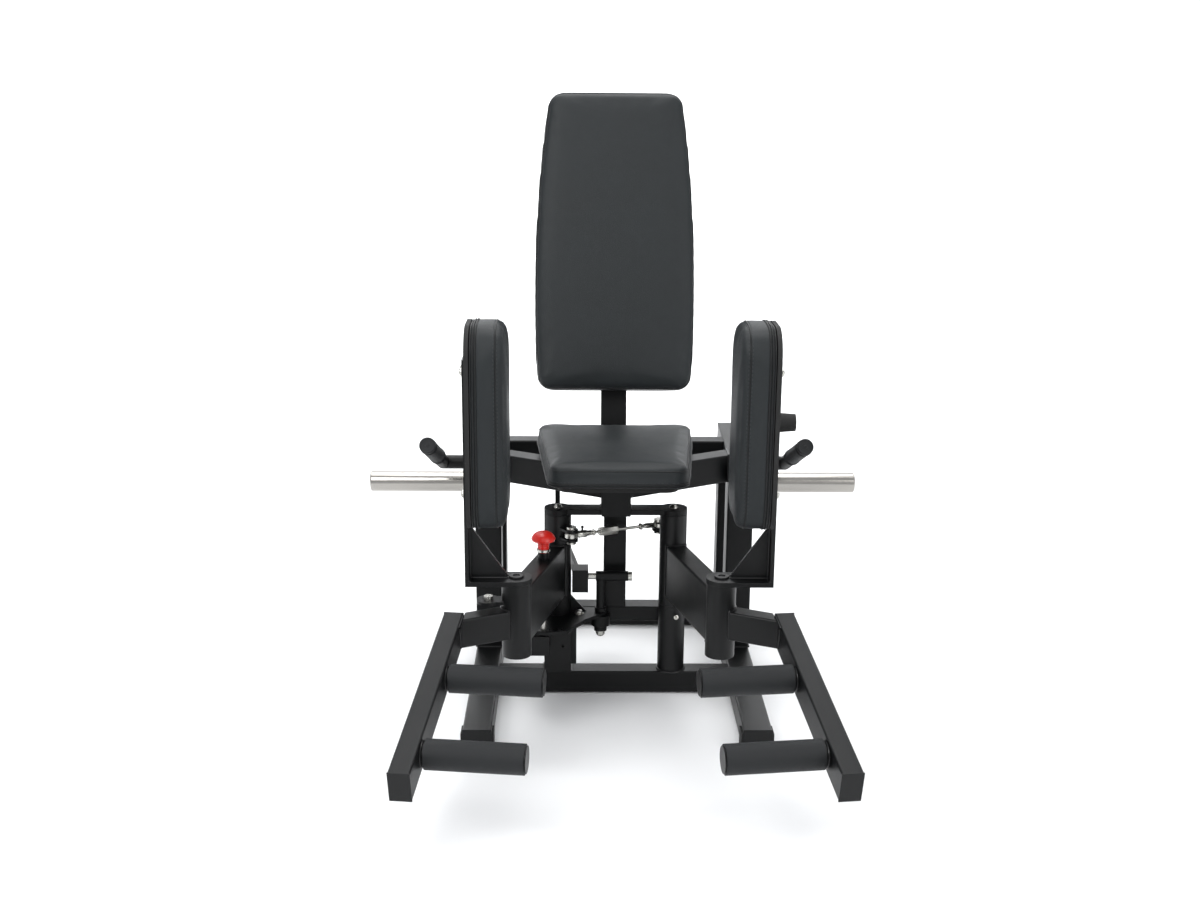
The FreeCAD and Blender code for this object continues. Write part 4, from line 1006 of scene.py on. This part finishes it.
# ---------------------------------------------------------------- CAD nodes
def dress_frame() -> None:
    """Give every CAD node its finish."""
    for name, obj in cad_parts.items():
        if name in ("foot_pegs_left", "foot_pegs_right", "hand_grips"):
            look = Look.GRIP_RUBBER
        elif name in ("rubber_feet", "rubber_buffers"):
            look = Look.FOOT_RUBBER
        elif name == "weight_horns":
            look = Look.CHROME
        elif name in ("pivot_shafts", "yoke_shaft", "selector_pin") or name.startswith("hub_pin"):
            look = Look.STEEL
        elif name == "selector_knob":
            look = Look.RED_PLASTIC
        elif name.startswith("column_bushes"):
            look = Look.BRONZE
        elif name in ("bridge_bolts", "swivel_bolt", "tie_rod") or name.startswith("arm_bolts"):
            look = Look.ZINC
        elif "board" in name:
            look = Look.BOARD
        elif name.endswith("_left") or name.endswith("_right"):
            look = Look.ARM_COAT
        else:
            look = Look.POWDER_COAT
        obj.data.materials.clear()
        obj.data.materials.append(SHOP.get(look))


# ---------------------------------------------------------------- studio
@dataclass(frozen=True)
class Shot:
    """The camera and the frame."""

    place: tuple[float, float, float] = (-0.084, -3.003, 1.359)
    pitch: float = 0.258
    yaw: float = 0.016
    roll: float = 0.008
    focal_pixels: float = 1421.0
    width: int = 1200
    height: int = 900


class Studio:
    """Floor, lights and camera."""

    def __init__(self, shot: Shot) -> None:
        """Keep the camera's shot."""
        self.shot = shot

    def build(self) -> None:
        """Set up everything around the object."""
        self._floor()
        self._lights()
        self._camera()
        scene = bpy.context.scene
        scene.render.resolution_x = self.shot.width
        scene.render.resolution_y = self.shot.height
        scene.view_settings.view_transform = "Standard"
        scene.view_settings.look = "None"
        scene.view_settings.exposure = 0.0

    def _floor(self) -> None:
        """A pale floor that curves up into a backdrop far behind."""
        xs = np.linspace(-9, 9, 5)
        profile = [(-7.0, 0.0), (3.5, 0.0)]
        profile += [(3.5 + 2 * math.sin(a), 2 - 2 * math.cos(a)) for a in np.linspace(0, math.pi / 2,
                                                                                      13)[1:]]
        profile += [(5.5, 8.0)]
        points = [(x, y, z) for y, z in profile for x in xs]
        count = len(xs)
        faces = [(r * count + c, r * count + c + 1, (r + 1) * count + c + 1, (r + 1) * count + c)
                 for r in range(len(profile) - 1) for c in range(count - 1)]
        mesh = bpy.data.meshes.new("studio_floor")
        mesh.from_pydata(points, [], faces)
        mesh.shade_smooth()
        mesh.materials.append(SHOP.get(Look.STUDIO_FLOOR))
        floor = bpy.data.objects.new("studio_floor", mesh)
        bpy.context.scene.collection.objects.link(floor)

    def _lights(self) -> None:
        """Soft area lights, one of them for the backdrop, and an even dome."""
        for name, place, target, size, watts in (
                ("key", (-1.7, -2.9, 3.0), (0, 0, 0.5), 1.8, 85),
                ("fill", (2.4, -2.6, 2.0), (0, 0, 0.4), 2.0, 40),
                ("top", (0.0, 0.4, 3.6), (0, 0, 0.3), 2.2, 60),
                ("backdrop", (0.0, 2.0, 4.5), (0, 6, 2.0), 4.0, 330)):
            lamp = bpy.data.lights.new(name, "AREA")
            lamp.shape = "SQUARE"
            lamp.size = size
            lamp.energy = watts
            obj = bpy.data.objects.new(name, lamp)
            obj.location = place
            obj.rotation_mode = "QUATERNION"
            obj.rotation_quaternion = (Vector(target) - Vector(place)).to_track_quat("-Z", "Y")
            bpy.context.scene.collection.objects.link(obj)
        world = bpy.data.worlds.new("soft_dome")
        world.use_nodes = True
        sky = world.node_tree.nodes["Background"]
        sky.inputs["Color"].default_value = (0.97, 0.98, 1.0, 1.0)
        sky.inputs["Strength"].default_value = 0.6
        bpy.context.scene.world = world

    def _camera(self) -> None:
        """Aim the camera: forward is pitched down and turned, then rolled about itself."""
        shot = self.shot
        forward = np.array([math.sin(shot.yaw) * math.cos(shot.pitch),
                            math.cos(shot.yaw) * math.cos(shot.pitch),
                            -math.sin(shot.pitch)])
        level = np.array([math.cos(shot.yaw), -math.sin(shot.yaw), 0.0])
        above = np.cross(level, forward)
        right = math.cos(shot.roll) * level + math.sin(shot.roll) * above
        up = -math.sin(shot.roll) * level + math.cos(shot.roll) * above
        data = bpy.data.cameras.new("camera")
        data.sensor_width = 36.0
        data.lens = shot.focal_pixels * data.sensor_width / shot.width
        data.clip_start = 0.05
        camera = bpy.data.objects.new("camera", data)
        turn = Matrix(np.column_stack([right, up, -forward]).tolist()).to_4x4()
        camera.matrix_world = Matrix.Translation(Vector(shot.place)) @ turn
        bpy.context.scene.collection.objects.link(camera)
        bpy.context.scene.camera = camera


def main() -> None:
    """Build the looks round the frame."""
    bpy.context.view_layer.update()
    dress_frame()
    for cushion in cushions():
        cushion.build()
    Details(SIZES).build()
    Studio(Shot()).build()


if __name__ == "__main__":
    main()
